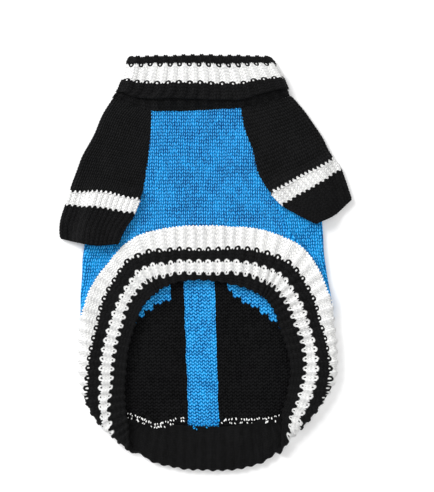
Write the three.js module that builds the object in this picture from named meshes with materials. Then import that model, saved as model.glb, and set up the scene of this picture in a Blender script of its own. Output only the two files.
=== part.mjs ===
// A knitted dog sweater, laid flat on its back with the belly side up.
// Millimetres, +Z up, the collar toward +Y. Left and right are those seen from above.
// Every piece of cloth is a closed wall, and the wall's underside lies on z = 0 where it rests.

import * as THREE from 'three';

// Cloth, layers and seams
const PANEL_WALL = 2.0;
const CUFF_WALL = 1.8;
const BAND_WALL = 4.2;
const LAYER_GAP = 0.6;
const BAND_LAYER_GAP = 0.4;
const SEAM_GAP = 0.3;
const NECK_SEAM_GAP = 0.6;
const BAND_SEAM_GAP = 0.65;
const PANEL_RADIUS = PANEL_WALL + LAYER_GAP / 2;
const CUFF_RADIUS = CUFF_WALL + LAYER_GAP / 2;
const BAND_RADIUS = BAND_WALL + BAND_LAYER_GAP / 2;

// Ribs
const BAND_RIBS = 72;
const BAND_RIB_HEIGHT = 0.8;
const COLLAR_RIBS = 32;
const COLLAR_RIB_HEIGHT = 0.8;
const CUFF_RIBS = 28;
const CUFF_RIB_HEIGHT = 0.5;

// Height of a sleeve's end where it lies on the body, and the way it rises there
const SLEEVE_LIFT = 5.5;
const SLEEVE_RISE_START = 0.84;
const BODY_EDGE_OUTSIDE = 12;
const BODY_EDGE_INSIDE = 1;

// The band's top layer settles onto the back panel past its own lower layer
const BAND_SAG = 2.0;
const BAND_SAG_START = 3;
const BAND_SAG_LENGTH = 12;

// A panel's edge rises or falls to meet the band's outer face over this length
const FLUSH_LENGTH = 14;
const FLUSH_LARGEST_SHARE = 0.8;

// The belly panel meets the band over the last share of its length, and the side seams at its corners
const BELLY_RISE_START = 0.85;
const BELLY_CORNER_SHARE = 0.1;

// A height at which both side folds have reached their shoulders
const SHOULDER_Y = 100;

// A cuff's end rises over the rest of its length
const CUFF_RISE_START = 0.4;

// The collar's fold. Its stand rises clear of the neck seam over a share of the way to the flap's edge
const COLLAR_BEND_INSIDE = 0.2;
const COLLAR_STAND_INSIDE = 0.3;
const COLLAR_CLEAR_SHARE = 0.9;
const COLLAR_BEND_RIB_SHARE = 0.5;

// The three outlines of the collar are read at its width at about these heights
const COLLAR_SEAM_Y = 110;
const COLLAR_EDGE_Y = 116;
const COLLAR_TOP_Y = 140;

// Lengths across which a tube's ribs are spread evenly, before its own width is put in
const TYPICAL_CUFF_WIDTH = 42;
const TYPICAL_COLLAR_LENGTH = 112;

const COLOURS = { blue: 0x2f8fe8, black: 0x1c1c1e, white: 0xf0f0ee };

// The neck seam, from the left sleeve's outer fold to the right one's
const NECK_SEAM = [
  [-62.9, 112.4], [-51.7, 107.5], [-37.4, 103.9], [-21.1, 103.7], [-4.1, 104.3],
  [12.9, 105.2], [23.8, 106.0], [38.1, 108.3], [49.0, 111.2], [57.3, 114.4],
];
const BACK_NECK_LEFT = -49.6;
const BACK_NECK_RIGHT = 44;

// Each side's outlines, all from the neck toward the hem or from the inside outward.
// bodyFold rows are [y, x]; all other rows are [x, y].
const LEFT = {
  outward: -1,
  bodyFold: [[-60, -86], [-42, -85.7], [-25, -85.7], [-11.4, -85], [12.4, -83], [30, -79], [47, -74]],
  outerFold: [
    [-62.9, 112.4], [-69, 104.2], [-75.5, 88.9], [-80.6, 78.7], [-85.7, 70.2], [-89.1, 60], [-93.2, 47.8],
  ],
  raglan: [[-37.4, 103.9], [-38.1, 90.6], [-39.4, 74], [-42.2, 53.2], [-45, 42.5]],
  armhole: [[BACK_NECK_LEFT, 106.8], [-60.5, 79], [-74, 47.4]],
  crease: [[-45, 42.5], [-58.5, 44.6], [-66.6, 46.8], [-74, 47.4], [-93.2, 47.8]],
  cuffInner: [[-45, 42.5], [-50, 32.1], [-54.4, 25.3], [-60, 13]],
  cuffOuter: [[-93.2, 47.8], [-95.9, 38.9], [-99.3, 20.9], [-98.8, 16.5]],
  cuffEnd: [[-60, 13], [-72, 12.2], [-84, 13.3], [-98.8, 16.5]],
  cuffEndLift: 2.5,
  seamEndX: -63.2,
};
const RIGHT = {
  outward: 1,
  bodyFold: [[-60, 88.4], [-33.8, 86.4], [-21.6, 85.3], [-8, 82.8], [9, 80.6], [26, 79.5], [64.4, 77]],
  outerFold: [
    [57.3, 114.4], [60.5, 111], [66.4, 104.2], [72.4, 95.7], [79.2, 85.5], [83.4, 77], [87.7, 70.2],
  ],
  raglan: [[23.8, 106.0], [26.5, 91.3], [32, 76.3], [36.7, 59.3], [44.5, 47]],
  armhole: [[BACK_NECK_RIGHT, 109.8], [59.5, 87.5], [77, 64.4]],
  crease: [[44.5, 47], [60.7, 55.6], [77, 64.4], [87.7, 70.2]],
  cuffInner: [[44.5, 47], [53, 38.9], [60.5, 34.5], [70.7, 29.4], [75.8, 26.9]],
  cuffOuter: [[87.7, 70.2], [91.1, 66], [93.4, 60], [99.3, 43]],
  cuffEnd: [[75.8, 26.9], [86, 32.1], [99.3, 43]],
  cuffEndLift: 0,
  seamEndX: 55.8,
};

// The hem band, line by line round the opening, from the belly's middle by way of the left side.
// x, y: the line's outermost point. turn: the way it runs from the seam to the free edge, in degrees.
// under: its length from the side fold back to the seam, on the underside; negative where the seam lies
// on top, that far inside the fold; more than the width where the whole line is underneath.
const BAND_COLUMNS = ['x', 'y', 'turn', 'under', 'width'];
const BAND_LINES = [
  [0.0, 25.3, -90, -22, 37.1],
  [-27.9, 23.3, -86, -22, 38.8],
  [-46.2, 18.5, -70, -22, 39.8],
  [-57.8, 11.0, -52, -22, 39.4],
  [-66.6, -0.5, -38, -19, 37.0],
  [-74.1, -10.0, -30, -12, 37.4],
  [-80.2, -23.0, -22, -5.7, 37.0],
  [-85.7, -42.0, -15, 0, 35.4],
  [-86.0, -55.6, -9, 3.4, 36.0],
  [-85.7, -76.0, -1, 6.1, 36.7],
  [-84.0, -87.6, 5, 7.5, 35.6],
  [-78.2, -101.2, 15, 8.6, 32.0],
  [-71.4, -110.7, 24, 10.9, 29.4],
  [-65.3, -116.1, 33, 16.3, 29.6],
  [-57.8, -122.9, 48, 23.0, 28.6],
  [-49.6, -129.0, 70, 28.6, 26.0],
  [-38.1, -134.5, 82, 30.4, 26.6],
  [-23.1, -138.6, 88, 32.0, 28.4],
  [0.0, -140.9, 90, 33.2, 29.2],
  [23.1, -139.9, 92, 33.2, 29.2],
  [38.1, -135.8, 96, 32.0, 28.4],
  [48.0, -130.1, 102, 28.2, 25.2],
  [54.9, -122.9, 120, 20.0, 26.0],
  [61.9, -115.4, 142, 16.3, 28.6],
  [68.7, -108.0, 157, 11.0, 29.0],
  [76.8, -98.4, 167, 8.8, 31.3],
  [84.3, -87.6, 174, 8.4, 36.2],
  [88.4, -73.9, 180, 6.8, 37.1],
  [88.4, -55.6, 187, 4.1, 36.6],
  [86.4, -33.8, 197, 0, 37.2],
  [81.8, -17.2, 207, -4, 38.8],
  [76.8, -5.3, 216, -8, 40.4],
  [70.7, 4.9, 226, -13, 42.4],
  [63.2, 12.4, 236, -20, 43.0],
  [53.0, 17.6, 249, -22, 43.0],
  [38.1, 22.4, 261, -22, 42.0],
  [16.3, 24.9, 268, -22, 39.0],
];

// The collar's silhouette by height, its top fold, and the free edge of its flap
const COLLAR_COLUMNS = ['y', 'left', 'right'];
const COLLAR_WIDTHS = [
  [104, -65.3, 59.7],
  [112.4, -65.2, 59.6],
  [116.5, -60.0, 56.4],
  [122, -57.8, 53.9],
  [128, -55.2, 51.5],
  [134, -53.7, 47.8],
  [140.6, -52.4, 43.7],
];
const COLLAR_TOP = [[-52, 139.6], [-30, 140.4], [-4, 140.8], [20, 140.4], [44, 139.6]];
const FLAP_EDGE = [
  [-60, 117.2], [-48.3, 113.6], [-38, 111.7], [-17.7, 112.2], [12.9, 110.9], [26.5, 111.6], [36, 114.6],
  [56, 119.4],
];

// Steps along the pieces
const BELLY_COLUMNS = [
  0, 0.03, 0.06, 0.1, 0.15, 0.22, 0.28, 0.36, 0.45, 0.55, 0.64, 0.72, 0.78, 0.85, 0.9, 0.94, 0.97, 1,
];
const BELLY_SEAM_ROWS = [0.3, 0.6, 0.8, 0.92, 1];
const BELLY_RAGLAN_SHARE = 0.62;
const BACK_ROWS = [0, 0.12, 0.28, 0.44, 0.6, 0.74, 0.85, 0.93, 1];
const BACK_STEPS = { over: 8, armhole: 8, neck: 7 };
const ARMHOLE_ROUND_SHARE = 0.6;
const SIDE_SEAM_SEARCH_SHARE = 0.45;
const BACK_FOLD_PLACES = [-1.8, -1.3, -0.9, -0.45, 0, 0.45, 0.9, 1.3, 1.8];
const SLEEVE_ROWS = [0, 0.2, 0.4, 0.58, 0.7, 0.78, 0.84, 0.89, 0.94, 1];
const SLEEVE_STEPS = { front: 5, back: 4 };
const CUFF_ROWS = [0, 0.2, 0.4, 0.6, 0.8, 1];
const BAND_STEPS = 12;
const COLLAR_STAND_STEPS = [0, 0.08, 0.16, 0.5, 1];
const COLLAR_BEND_ANGLES = [135, 90, 45];
const COLLAR_FLAP_STEPS = [0, 0.33, 0.67, 1];

// Small helpers

const mix = (a, b, t) => a + (b - a) * t;
const clamp = (value, low, high) => Math.min(high, Math.max(low, value));
const steps = (count) => Array.from({ length: count + 1 }, (_, i) => i / count);

function smoothstep(low, high, value) {
  const t = clamp((value - low) / (high - low), 0, 1);
  return t * t * (3 - 2 * t);
}

// A smooth function through rows of [input, output, ...], one cubic piece between each two rows
function through(rows, outputs = 1, period = 0) {
  const wrapped = period
    ? [
        ...rows.slice(-2).map((row) => [row[0] - period, ...row.slice(1)]),
        ...rows,
        ...rows.slice(0, 2).map((row) => [row[0] + period, ...row.slice(1)]),
      ]
    : rows;
  const last = wrapped.length - 1;
  const slopes = wrapped.map((row, i) => {
    const before = wrapped[Math.max(i - 1, 0)];
    const after = wrapped[Math.min(i + 1, last)];
    return row.slice(1).map((value, k) => {
      const rise = i > 0 ? (value - before[k + 1]) / (row[0] - before[0]) : null;
      const fall = i < last ? (after[k + 1] - value) / (after[0] - row[0]) : null;
      if (rise === null) return fall;
      if (fall === null) return rise;
      const back = row[0] - before[0];
      const ahead = after[0] - row[0];
      return (rise * ahead + fall * back) / (back + ahead);
    });
  });
  return (input) => {
    const at = clamp(input, wrapped[0][0], wrapped[last][0]);
    let i = 0;
    while (i < last - 1 && at > wrapped[i + 1][0]) i += 1;
    const span = wrapped[i + 1][0] - wrapped[i][0];
    const t = (at - wrapped[i][0]) / span;
    const values = [];
    for (let k = 0; k < outputs; k += 1) {
      const start = wrapped[i][k + 1];
      const end = wrapped[i + 1][k + 1];
      const bend = (t * (1 - t) ** 2 * slopes[i][k] - t * t * (1 - t) * slopes[i + 1][k]) * span;
      values.push(mix(start, end, t * t * (3 - 2 * t)) + bend);
    }
    return outputs === 1 ? values[0] : values;
  };
}

// A plan curve through points, from 0 to 1 by the length of its chords
function planCurve(points, shiftX = 0, shiftY = 0) {
  let length = 0;
  const rows = points.map(([x, y], i) => {
    if (i > 0) length += Math.hypot(x - points[i - 1][0], y - points[i - 1][1]);
    return [length, x + shiftX, y + shiftY];
  });
  const curve = through(rows, 2);
  return (t) => curve(t * length);
}

// A patch between four plan curves: start and end run across, near and far run along
function coonsPatch(start, end, near, far) {
  return (across, along) => {
    const corner = (a, b) => (b ? end(a) : start(a));
    return [0, 1].map((k) => {
      const ruled = mix(start(across)[k], end(across)[k], along)
        + mix(near(along)[k], far(along)[k], across);
      const corners = mix(
        mix(corner(0, 0)[k], corner(1, 0)[k], across),
        mix(corner(0, 1)[k], corner(1, 1)[k], across),
        along,
      );
      return ruled - corners;
    });
  };
}

// Closed walls

function finishSolid(positions, triangles) {
  const index = triangles.flat();
  let volume = 0;
  const a = new THREE.Vector3();
  const b = new THREE.Vector3();
  const c = new THREE.Vector3();
  for (let i = 0; i < index.length; i += 3) {
    a.fromArray(positions, index[i] * 3);
    b.fromArray(positions, index[i + 1] * 3);
    c.fromArray(positions, index[i + 2] * 3);
    volume += a.dot(b.cross(c));
  }
  if (volume < 0) index.reverse();
  const geometry = new THREE.BufferGeometry();
  geometry.setAttribute('position', new THREE.Float32BufferAttribute(positions, 3));
  geometry.setIndex(index);
  geometry.computeVertexNormals();
  return geometry;
}

// A wall between two equal grids of points, closed along its four edges
function sheetWall(outer, inner) {
  const rows = outer.length;
  const columns = outer[0].length;
  const positions = [...outer.flat(), ...inner.flat()].flat();
  const out = (i, j) => i * columns + j;
  const inn = (i, j) => (rows + i) * columns + j;
  const triangles = [];
  const quad = (a, b, c, d) => triangles.push([a, b, c], [a, c, d]);
  for (let i = 0; i < rows - 1; i += 1) {
    for (let j = 0; j < columns - 1; j += 1) {
      quad(out(i, j), out(i, j + 1), out(i + 1, j + 1), out(i + 1, j));
      quad(inn(i, j), inn(i + 1, j), inn(i + 1, j + 1), inn(i, j + 1));
    }
  }
  for (let j = 0; j < columns - 1; j += 1) {
    quad(out(0, j + 1), out(0, j), inn(0, j), inn(0, j + 1));
    quad(out(rows - 1, j), out(rows - 1, j + 1), inn(rows - 1, j + 1), inn(rows - 1, j));
  }
  for (let i = 0; i < rows - 1; i += 1) {
    quad(out(i, 0), out(i + 1, 0), inn(i + 1, 0), inn(i, 0));
    quad(out(i + 1, columns - 1), out(i, columns - 1), inn(i, columns - 1), inn(i + 1, columns - 1));
  }
  return finishSolid(positions, triangles);
}

// A wall that closes on itself across its columns: each rib has two points on the ribbed face and one
// on the plain face
function ribbedRing(ribbed, plain) {
  const rows = ribbed.length;
  const ribs = plain[0].length;
  const points = ribs * 2;
  const positions = [...ribbed.flat(), ...plain.flat()].flat();
  const out = (i, j) => i * points + (j % points);
  const inn = (i, j) => rows * points + i * ribs + (j % ribs);
  const triangles = [];
  const quad = (a, b, c, d) => triangles.push([a, b, c], [a, c, d]);
  for (let i = 0; i < rows - 1; i += 1) {
    for (let j = 0; j < points; j += 1) quad(out(i, j), out(i, j + 1), out(i + 1, j + 1), out(i + 1, j));
    for (let j = 0; j < ribs; j += 1) quad(inn(i, j), inn(i + 1, j), inn(i + 1, j + 1), inn(i, j + 1));
  }
  for (let j = 0; j < ribs; j += 1) {
    const [start, top, end] = [2 * j, 2 * j + 1, 2 * j + 2];
    triangles.push([out(0, top), out(0, start), inn(0, j)]);
    triangles.push([out(0, top), inn(0, j), inn(0, j + 1)]);
    triangles.push([out(0, end), out(0, top), inn(0, j + 1)]);
    const far = rows - 1;
    triangles.push([out(far, start), out(far, top), inn(far, j)]);
    triangles.push([out(far, top), inn(far, j + 1), inn(far, j)]);
    triangles.push([out(far, top), out(far, end), inn(far, j + 1)]);
  }
  return finishSolid(positions, triangles);
}

// The section of a cloth folded flat on itself. arc is the length from the fold's outermost line, more
// than zero on top and less than zero underneath. reach is how far a point lies inside that line.
function foldSection(arc, radius, wall) {
  const middle = radius - wall / 2;
  const quarter = (middle * Math.PI) / 2;
  const angle = clamp(arc / middle, -Math.PI / 2, Math.PI / 2);
  const straight = Math.max(Math.abs(arc) - quarter, 0);
  const at = (r) => ({ reach: radius - r * Math.cos(angle) + straight, z: radius + r * Math.sin(angle) });
  return {
    outer: at(radius),
    inner: at(radius - wall),
    normal: { reach: -Math.cos(angle), z: Math.sin(angle) },
  };
}
const quarterArc = (radius, wall) => ((radius - wall / 2) * Math.PI) / 2;
const PANEL_QUARTER = quarterArc(PANEL_RADIUS, PANEL_WALL);

const neckSeamY = through(NECK_SEAM);

// A plan curve from the neck downward, moved so that it starts just below the neck seam
function fromNeck(curve, endRise = 0) {
  const [startX, startY] = curve(0);
  const startRise = neckSeamY(startX) - NECK_SEAM_GAP - startY;
  return (along) => {
    const [x, y] = curve(along);
    return [x, y + mix(startRise, endRise, along)];
  };
}

// The hem band

const bandLineAt = (() => {
  const lines = BAND_LINES.map((row) => Object.fromEntries(BAND_COLUMNS.map((name, k) => [name, row[k]])));
  const folded = lines.map(({ x, y, turn, under, width }) => {
    const nearest = clamp(0, -under, width - under);
    const { reach } = foldSection(nearest, BAND_RADIUS, BAND_WALL).outer;
    const angle = THREE.MathUtils.degToRad(turn);
    return [x - reach * Math.cos(angle), y - reach * Math.sin(angle), turn, under, width];
  });
  const middleOf = ([x, y, turn, under, width]) => {
    const angle = THREE.MathUtils.degToRad(turn);
    const reach = Math.abs(width / 2 - under);
    return [x + reach * Math.cos(angle), y + reach * Math.sin(angle)];
  };
  const middles = folded.map(middleOf);
  let length = 0;
  const rows = folded.map((row, i) => {
    if (i > 0) length += Math.hypot(middles[i][0] - middles[i - 1][0], middles[i][1] - middles[i - 1][1]);
    return [length, ...row];
  });
  const last = middles.length - 1;
  length += Math.hypot(middles[0][0] - middles[last][0], middles[0][1] - middles[last][1]);
  // The turn goes once round, so it is told as its difference from an even turn
  const evened = rows.map(([at, x, y, turn, under, width]) => [
    at, x, y, turn - (360 * at) / length, under, width,
  ]);
  const table = through(evened, 5, length);
  return (round) => {
    const at = (((round % 1) + 1) % 1) * length;
    const [x, y, evenTurn, under, width] = table(at);
    const angle = THREE.MathUtils.degToRad(evenTurn + (360 * at) / length);
    return { x, y, dx: Math.cos(angle), dy: Math.sin(angle), under, width };
  };
})();

// A point of one line of the band: arc is measured from the side fold, rib lifts the ribbed face
function bandPoint(line, arc, inside, rib = 0) {
  const section = foldSection(arc, BAND_RADIUS, BAND_WALL);
  const { reach, z } = inside ? section.inner : section.outer;
  const start = Math.max(line.under, 0) + BAND_SAG_START;
  const sag = BAND_SAG * smoothstep(start, start + BAND_SAG_LENGTH, arc);
  const ribbing = rib * smoothstep(-1, 0, section.normal.z);
  const far = reach + ribbing * section.normal.reach;
  return [line.x + far * line.dx, line.y + far * line.dy, z - sag + ribbing * section.normal.z];
}

// Steps across a line, closer together round the side fold
function bandArcs(line) {
  const fine = 120;
  const foldSpread = 4;
  const foldCrowding = 4;
  const weights = [0];
  for (let i = 1; i <= fine; i += 1) {
    const arc = ((i - 0.5) / fine) * line.width - line.under;
    weights.push(weights[i - 1] + 1 + foldCrowding * Math.exp(-((arc / foldSpread) ** 2)));
  }
  return steps(BAND_STEPS).map((share) => {
    const target = share * weights[fine];
    let i = 0;
    while (i < fine - 1 && weights[i + 1] < target) i += 1;
    const part = (target - weights[i]) / (weights[i + 1] - weights[i]);
    return ((i + part) / fine) * line.width - line.under;
  });
}

function hemBand() {
  const ribbed = [];
  const plain = [];
  for (let row = 0; row <= BAND_STEPS; row += 1) {
    ribbed.push([]);
    plain.push([]);
  }
  for (let j = 0; j < BAND_RIBS * 2; j += 1) {
    const line = bandLineAt(j / (BAND_RIBS * 2));
    const rib = j % 2 ? BAND_RIB_HEIGHT : 0;
    bandArcs(line).forEach((arc, row) => {
      ribbed[row].push(bandPoint(line, arc, false, rib));
      if (j % 2 === 0) plain[row].push(bandPoint(line, arc, true));
    });
  }
  return ribbedRing(ribbed, plain);
}

// Where a panel's edge meets the band, flush with the band's outer face
function bandEdge(round) {
  const line = bandLineAt(round);
  const arc = -line.under - BAND_SEAM_GAP;
  const outer = bandPoint(line, arc, false);
  const full = bandPoint(line, arc, true);
  const share = PANEL_WALL / BAND_WALL;
  return { line, outer, inner: outer.map((value, k) => mix(value, full[k], share)) };
}

// The place on the band's seam, between two places round it, where a measure reaches a wanted value
function findRound(measure, wanted, low, high) {
  let [from, to] = [low, high];
  const rising = measure(to) > measure(from);
  for (let i = 0; i < 40; i += 1) {
    const middle = (from + to) / 2;
    if (measure(middle) < wanted === rising) from = middle;
    else to = middle;
  }
  return (from + to) / 2;
}

// The back panel

// Each side's place round the band: the belly's middle is 0 or 1, the hem's middle is hemMiddle
const hemMiddle = findRound((round) => bandEdge(round).outer[0], 0, 0.4, 0.6);
for (const side of [LEFT, RIGHT]) {
  side.foldX = through(side.bodyFold);
  const bellyMiddle = side.outward < 0 ? 0 : 1;
  const searchEnd = mix(bellyMiddle, hemMiddle, SIDE_SEAM_SEARCH_SHARE);
  side.seamEnd = findRound((round) => bandEdge(round).outer[0], side.seamEndX, bellyMiddle, searchEnd);
  side.foldRound = findRound((round) => bandLineAt(round).under, 0, side.seamEnd, hemMiddle);
  side.hemMiddle = hemMiddle;
}

// A point of the back panel: arc from the side fold, more than zero underneath, at a height y
function backPoint(side, arc, y) {
  const section = foldSection(-arc, PANEL_RADIUS, PANEL_WALL);
  const place = ({ reach, z }) => [side.foldX(y) - side.outward * reach, y, z];
  return { outer: place(section.outer), inner: place(section.inner) };
}

const halfWidth = (y) => (RIGHT.foldX(y) - LEFT.foldX(y)) / 2;
const arcOfReach = (reach) => reach - PANEL_RADIUS + PANEL_QUARTER;
const reachOf = (side, x, y) => side.outward * (side.foldX(y) - x);

// The arc of the band's seam at a place round it, as the back panel sees it
function seamArc(side, round) {
  const { line, outer } = bandEdge(round);
  const arc = Math.max(arcOfReach(reachOf(side, outer[0], outer[1])), 0);
  return line.under > 0 ? Math.max(arc, line.under) : -Math.max(arc, -line.under);
}

// The columns of half the back panel, from the side seam round the fold to the middle of the back:
// where each starts at the armhole or the neck, and where it ends at the band's seam
function backColumns(side) {
  const corner = side.armhole[side.armhole.length - 1];
  const crease = planCurve(side.crease, 0, -SEAM_GAP);
  const creaseEnd = findRound((t) => side.outward * crease(t)[0], side.outward * corner[0], 0, 1);
  const fromTop = fromNeck(planCurve(side.armhole));
  const armhole = (t) => fromTop(1 - t);
  const seamStart = arcOfReach(reachOf(side, side.crease[0][0], corner[1]));
  const roundUnder = (under, low, high) => findRound((at) => bandLineAt(at).under, under, low, high);
  const overEnd = roundUnder(BACK_FOLD_PLACES[0] * PANEL_QUARTER, side.seamEnd, side.foldRound);
  const columns = [];
  for (const share of steps(BACK_STEPS.over).slice(0, -1)) {
    const start = mix(-seamStart, BACK_FOLD_PLACES[0] * PANEL_QUARTER, share);
    const round = mix(side.seamEnd, overEnd, share);
    columns.push({ start, y: crease(share * creaseEnd)[1], round });
  }
  for (const place of BACK_FOLD_PLACES) {
    const start = place * PANEL_QUARTER;
    const reach = Math.max(place, 0) * PANEL_RADIUS;
    const onArmhole = findRound((t) => reachOf(side, armhole(t)[0], corner[1]), reach, 0, 0.5);
    const y = place > 0 ? armhole(onArmhole)[1] : crease(creaseEnd)[1];
    const limit = place < 0 ? side.seamEnd : side.hemMiddle;
    const round = place === 0 ? side.foldRound : roundUnder(start, side.foldRound, limit);
    columns.push({ start, y, round });
  }
  const foldEnd = columns[columns.length - 1].round;
  const lastPlace = BACK_FOLD_PLACES[BACK_FOLD_PLACES.length - 1];
  const lastReach = lastPlace * PANEL_RADIUS;
  const armholeStart = findRound((t) => reachOf(side, armhole(t)[0], corner[1]), lastReach, 0, 0.5);
  for (const share of steps(BACK_STEPS.armhole).slice(1)) {
    const [x, y] = armhole(mix(armholeStart, 1, share));
    const start = arcOfReach(reachOf(side, x, y));
    columns.push({ start, y, round: mix(foldEnd, side.hemMiddle, share * ARMHOLE_ROUND_SHARE) });
  }
  const neckX = side.armhole[0][0];
  for (const share of steps(BACK_STEPS.neck).slice(1)) {
    const x = mix(neckX, (LEFT.foldX(SHOULDER_Y) + RIGHT.foldX(SHOULDER_Y)) / 2, share);
    const y = neckSeamY(x) - NECK_SEAM_GAP;
    const start = arcOfReach(reachOf(side, x, y));
    columns.push({ start, y, round: mix(foldEnd, side.hemMiddle, mix(ARMHOLE_ROUND_SHARE, 1, share)) });
  }
  return columns;
}

// One column of the back panel, from its start down to the band, as shares of the half width
function backColumn(side, { start, y, round }) {
  const edge = bandEdge(round);
  const endY = edge.outer[1];
  const startShare = start / halfWidth(y);
  const endShare = seamArc(side, round) / halfWidth(endY);
  const formula = (along) => {
    const height = mix(y, endY, along);
    return backPoint(side, mix(startShare, endShare, along) * halfWidth(height), height);
  };
  const end = formula(1);
  const length = Math.abs(endY - y);
  const blendStart = 1 - Math.min(FLUSH_LENGTH / length, FLUSH_LARGEST_SHARE);
  return BACK_ROWS.map((along) => {
    const point = formula(along);
    const share = smoothstep(blendStart, 1, along);
    const moved = (face) => point[face].map((value, k) => value + (edge[face][k] - end[face][k]) * share);
    return { outer: moved('outer'), inner: moved('inner') };
  });
}

function backPanel() {
  const left = backColumns(LEFT).map((column) => backColumn(LEFT, column));
  const right = backColumns(RIGHT).map((column) => backColumn(RIGHT, column));
  const columns = [...left, ...right.reverse().slice(1)];
  const grid = (face) => BACK_ROWS.map((_, i) => columns.map((column) => column[i][face]));
  return sheetWall(grid('outer'), grid('inner'));
}

// The belly panel lies on the back panel between the two raglan seams, the side seams and the band
function bellyPanel() {
  const edgeOf = (side) => {
    const raglan = fromNeck(planCurve(side.raglan));
    const seam = planCurve(
      backColumn(side, backColumns(side)[0]).map(({ outer }) => outer.slice(0, 2)),
      -side.outward * SEAM_GAP,
      0,
    );
    return (along) => (along <= BELLY_RAGLAN_SHARE
      ? raglan(along / BELLY_RAGLAN_SHARE)
      : seam((along - BELLY_RAGLAN_SHARE) / (1 - BELLY_RAGLAN_SHARE)));
  };
  const near = edgeOf(LEFT);
  const far = edgeOf(RIGHT);
  const neck = (across) => {
    const x = mix(LEFT.raglan[0][0], RIGHT.raglan[0][0], across);
    return [x, neckSeamY(x) - NECK_SEAM_GAP];
  };
  const roundAt = (across) => mix(LEFT.seamEnd, RIGHT.seamEnd - 1, across);
  const hem = (across) => {
    const bandSide = bandEdge(roundAt(across)).outer;
    const corner = across < 0.5 ? near(1) : far(1);
    const pull = smoothstep(BELLY_CORNER_SHARE, 0, Math.min(across, 1 - across));
    return [mix(bandSide[0], corner[0], pull), bandSide[1]];
  };
  const patch = coonsPatch(neck, hem, near, far);
  const top = 2 * PANEL_RADIUS;
  const outer = [];
  const inner = [];
  const rows = [
    ...SLEEVE_ROWS.map((share) => share * BELLY_RAGLAN_SHARE),
    ...BELLY_SEAM_ROWS.map((share) => mix(BELLY_RAGLAN_SHARE, 1, share)),
  ];
  for (const along of rows) {
    const row = BELLY_COLUMNS.map((across) => {
      const rise = (bandEdge(roundAt(across)).outer[2] - top) * smoothstep(BELLY_RISE_START, 1, along);
      return [...patch(across, along), top + rise];
    });
    outer.push(row);
    inner.push(row.map(([x, y, z]) => [x, y, z - PANEL_WALL]));
  }
  return sheetWall(outer, inner);
}

// How high a sleeve's cloth is carried at a plan point: full over the body, none outside it
function carriedHeight(side, x, y, share) {
  const inset = side.outward * (side.foldX(y) - x);
  return SLEEVE_LIFT * share * smoothstep(-BODY_EDGE_OUTSIDE, -BODY_EDGE_INSIDE, inset);
}

// A raglan sleeve: front layer from the raglan seam, over the outer fold, back layer to the armhole
function sleeve(side) {
  const out = side.outward;
  const outerFold = planCurve(side.outerFold);
  const creaseUp = 1.5 * SEAM_GAP;
  const crease = planCurve(side.crease, 0, creaseUp);
  const corner = side.armhole[side.armhole.length - 1];
  const creaseCorner = findRound((t) => out * crease(t)[0], out * corner[0], 0, 1);
  const neckTo = (x) => (across) => {
    const at = mix(side.outerFold[0][0], x, across);
    return [at, neckSeamY(at) - NECK_SEAM_GAP];
  };
  const fold = fromNeck(outerFold, creaseUp);
  const raglan = fromNeck(planCurve(side.raglan, out * SEAM_GAP, 0), creaseUp);
  const armhole = fromNeck(planCurve(side.armhole, out * 1.5 * SEAM_GAP, 0), creaseUp);
  const frontPatch = coonsPatch(neckTo(raglan(0)[0]), (across) => crease(1 - across), fold, raglan);
  const backPatch = coonsPatch(
    neckTo(armhole(0)[0]), (across) => crease(mix(1, creaseCorner, across)), fold, armhole,
  );
  const arcsTo = (count) => [0.5, 1].map((turn) => ({ turn })).concat(
    steps(count).slice(1).map((share) => ({ turn: 1, share })),
  );
  const place = (patch, sign, { turn, share = 0 }, along) => {
    const width = Math.hypot(
      patch(1, along)[0] - patch(0, along)[0], patch(1, along)[1] - patch(0, along)[1],
    );
    const section = foldSection(sign * turn * PANEL_QUARTER, PANEL_RADIUS, PANEL_WALL);
    const rise = smoothstep(SLEEVE_RISE_START, 1, along);
    const point = ({ reach, z }) => {
      const across = mix(reach, width, share) / width;
      const [x, y] = patch(across, along);
      return [x, y, z + carriedHeight(side, x, y, rise)];
    };
    return { outer: point(section.outer), inner: point(section.inner) };
  };
  const rows = SLEEVE_ROWS.map((along) => [
    ...arcsTo(SLEEVE_STEPS.front).reverse().map((at) => place(frontPatch, 1, at, along)),
    place(frontPatch, 1, { turn: 0 }, along),
    ...arcsTo(SLEEVE_STEPS.back).map((at) => place(backPatch, -1, at, along)),
  ]);
  return sheetWall(
    rows.map((row) => row.map(({ outer }) => outer)),
    rows.map((row) => row.map(({ inner }) => inner)),
  );
}

// Places evenly round a flattened tube: along is its place on the middle line, -1 to 1, and the normal
// points out of the tube
function flatTubePlaces(count, length, radius) {
  const straight = length - 2 * radius;
  const turn = Math.PI * radius;
  return Array.from({ length: count }, (_, k) => {
    let at = (k / count) * 2 * (straight + turn);
    if (at < straight) return { along: -1 + (2 * at) / straight, across: 0, up: 1 };
    at -= straight;
    if (at < turn) return { along: 1, across: Math.sin(at / radius), up: Math.cos(at / radius) };
    at -= turn;
    if (at < straight) return { along: 1 - (2 * at) / straight, across: 0, up: -1 };
    at -= straight;
    return { along: -1, across: -Math.sin(at / radius), up: -Math.cos(at / radius) };
  });
}

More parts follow.
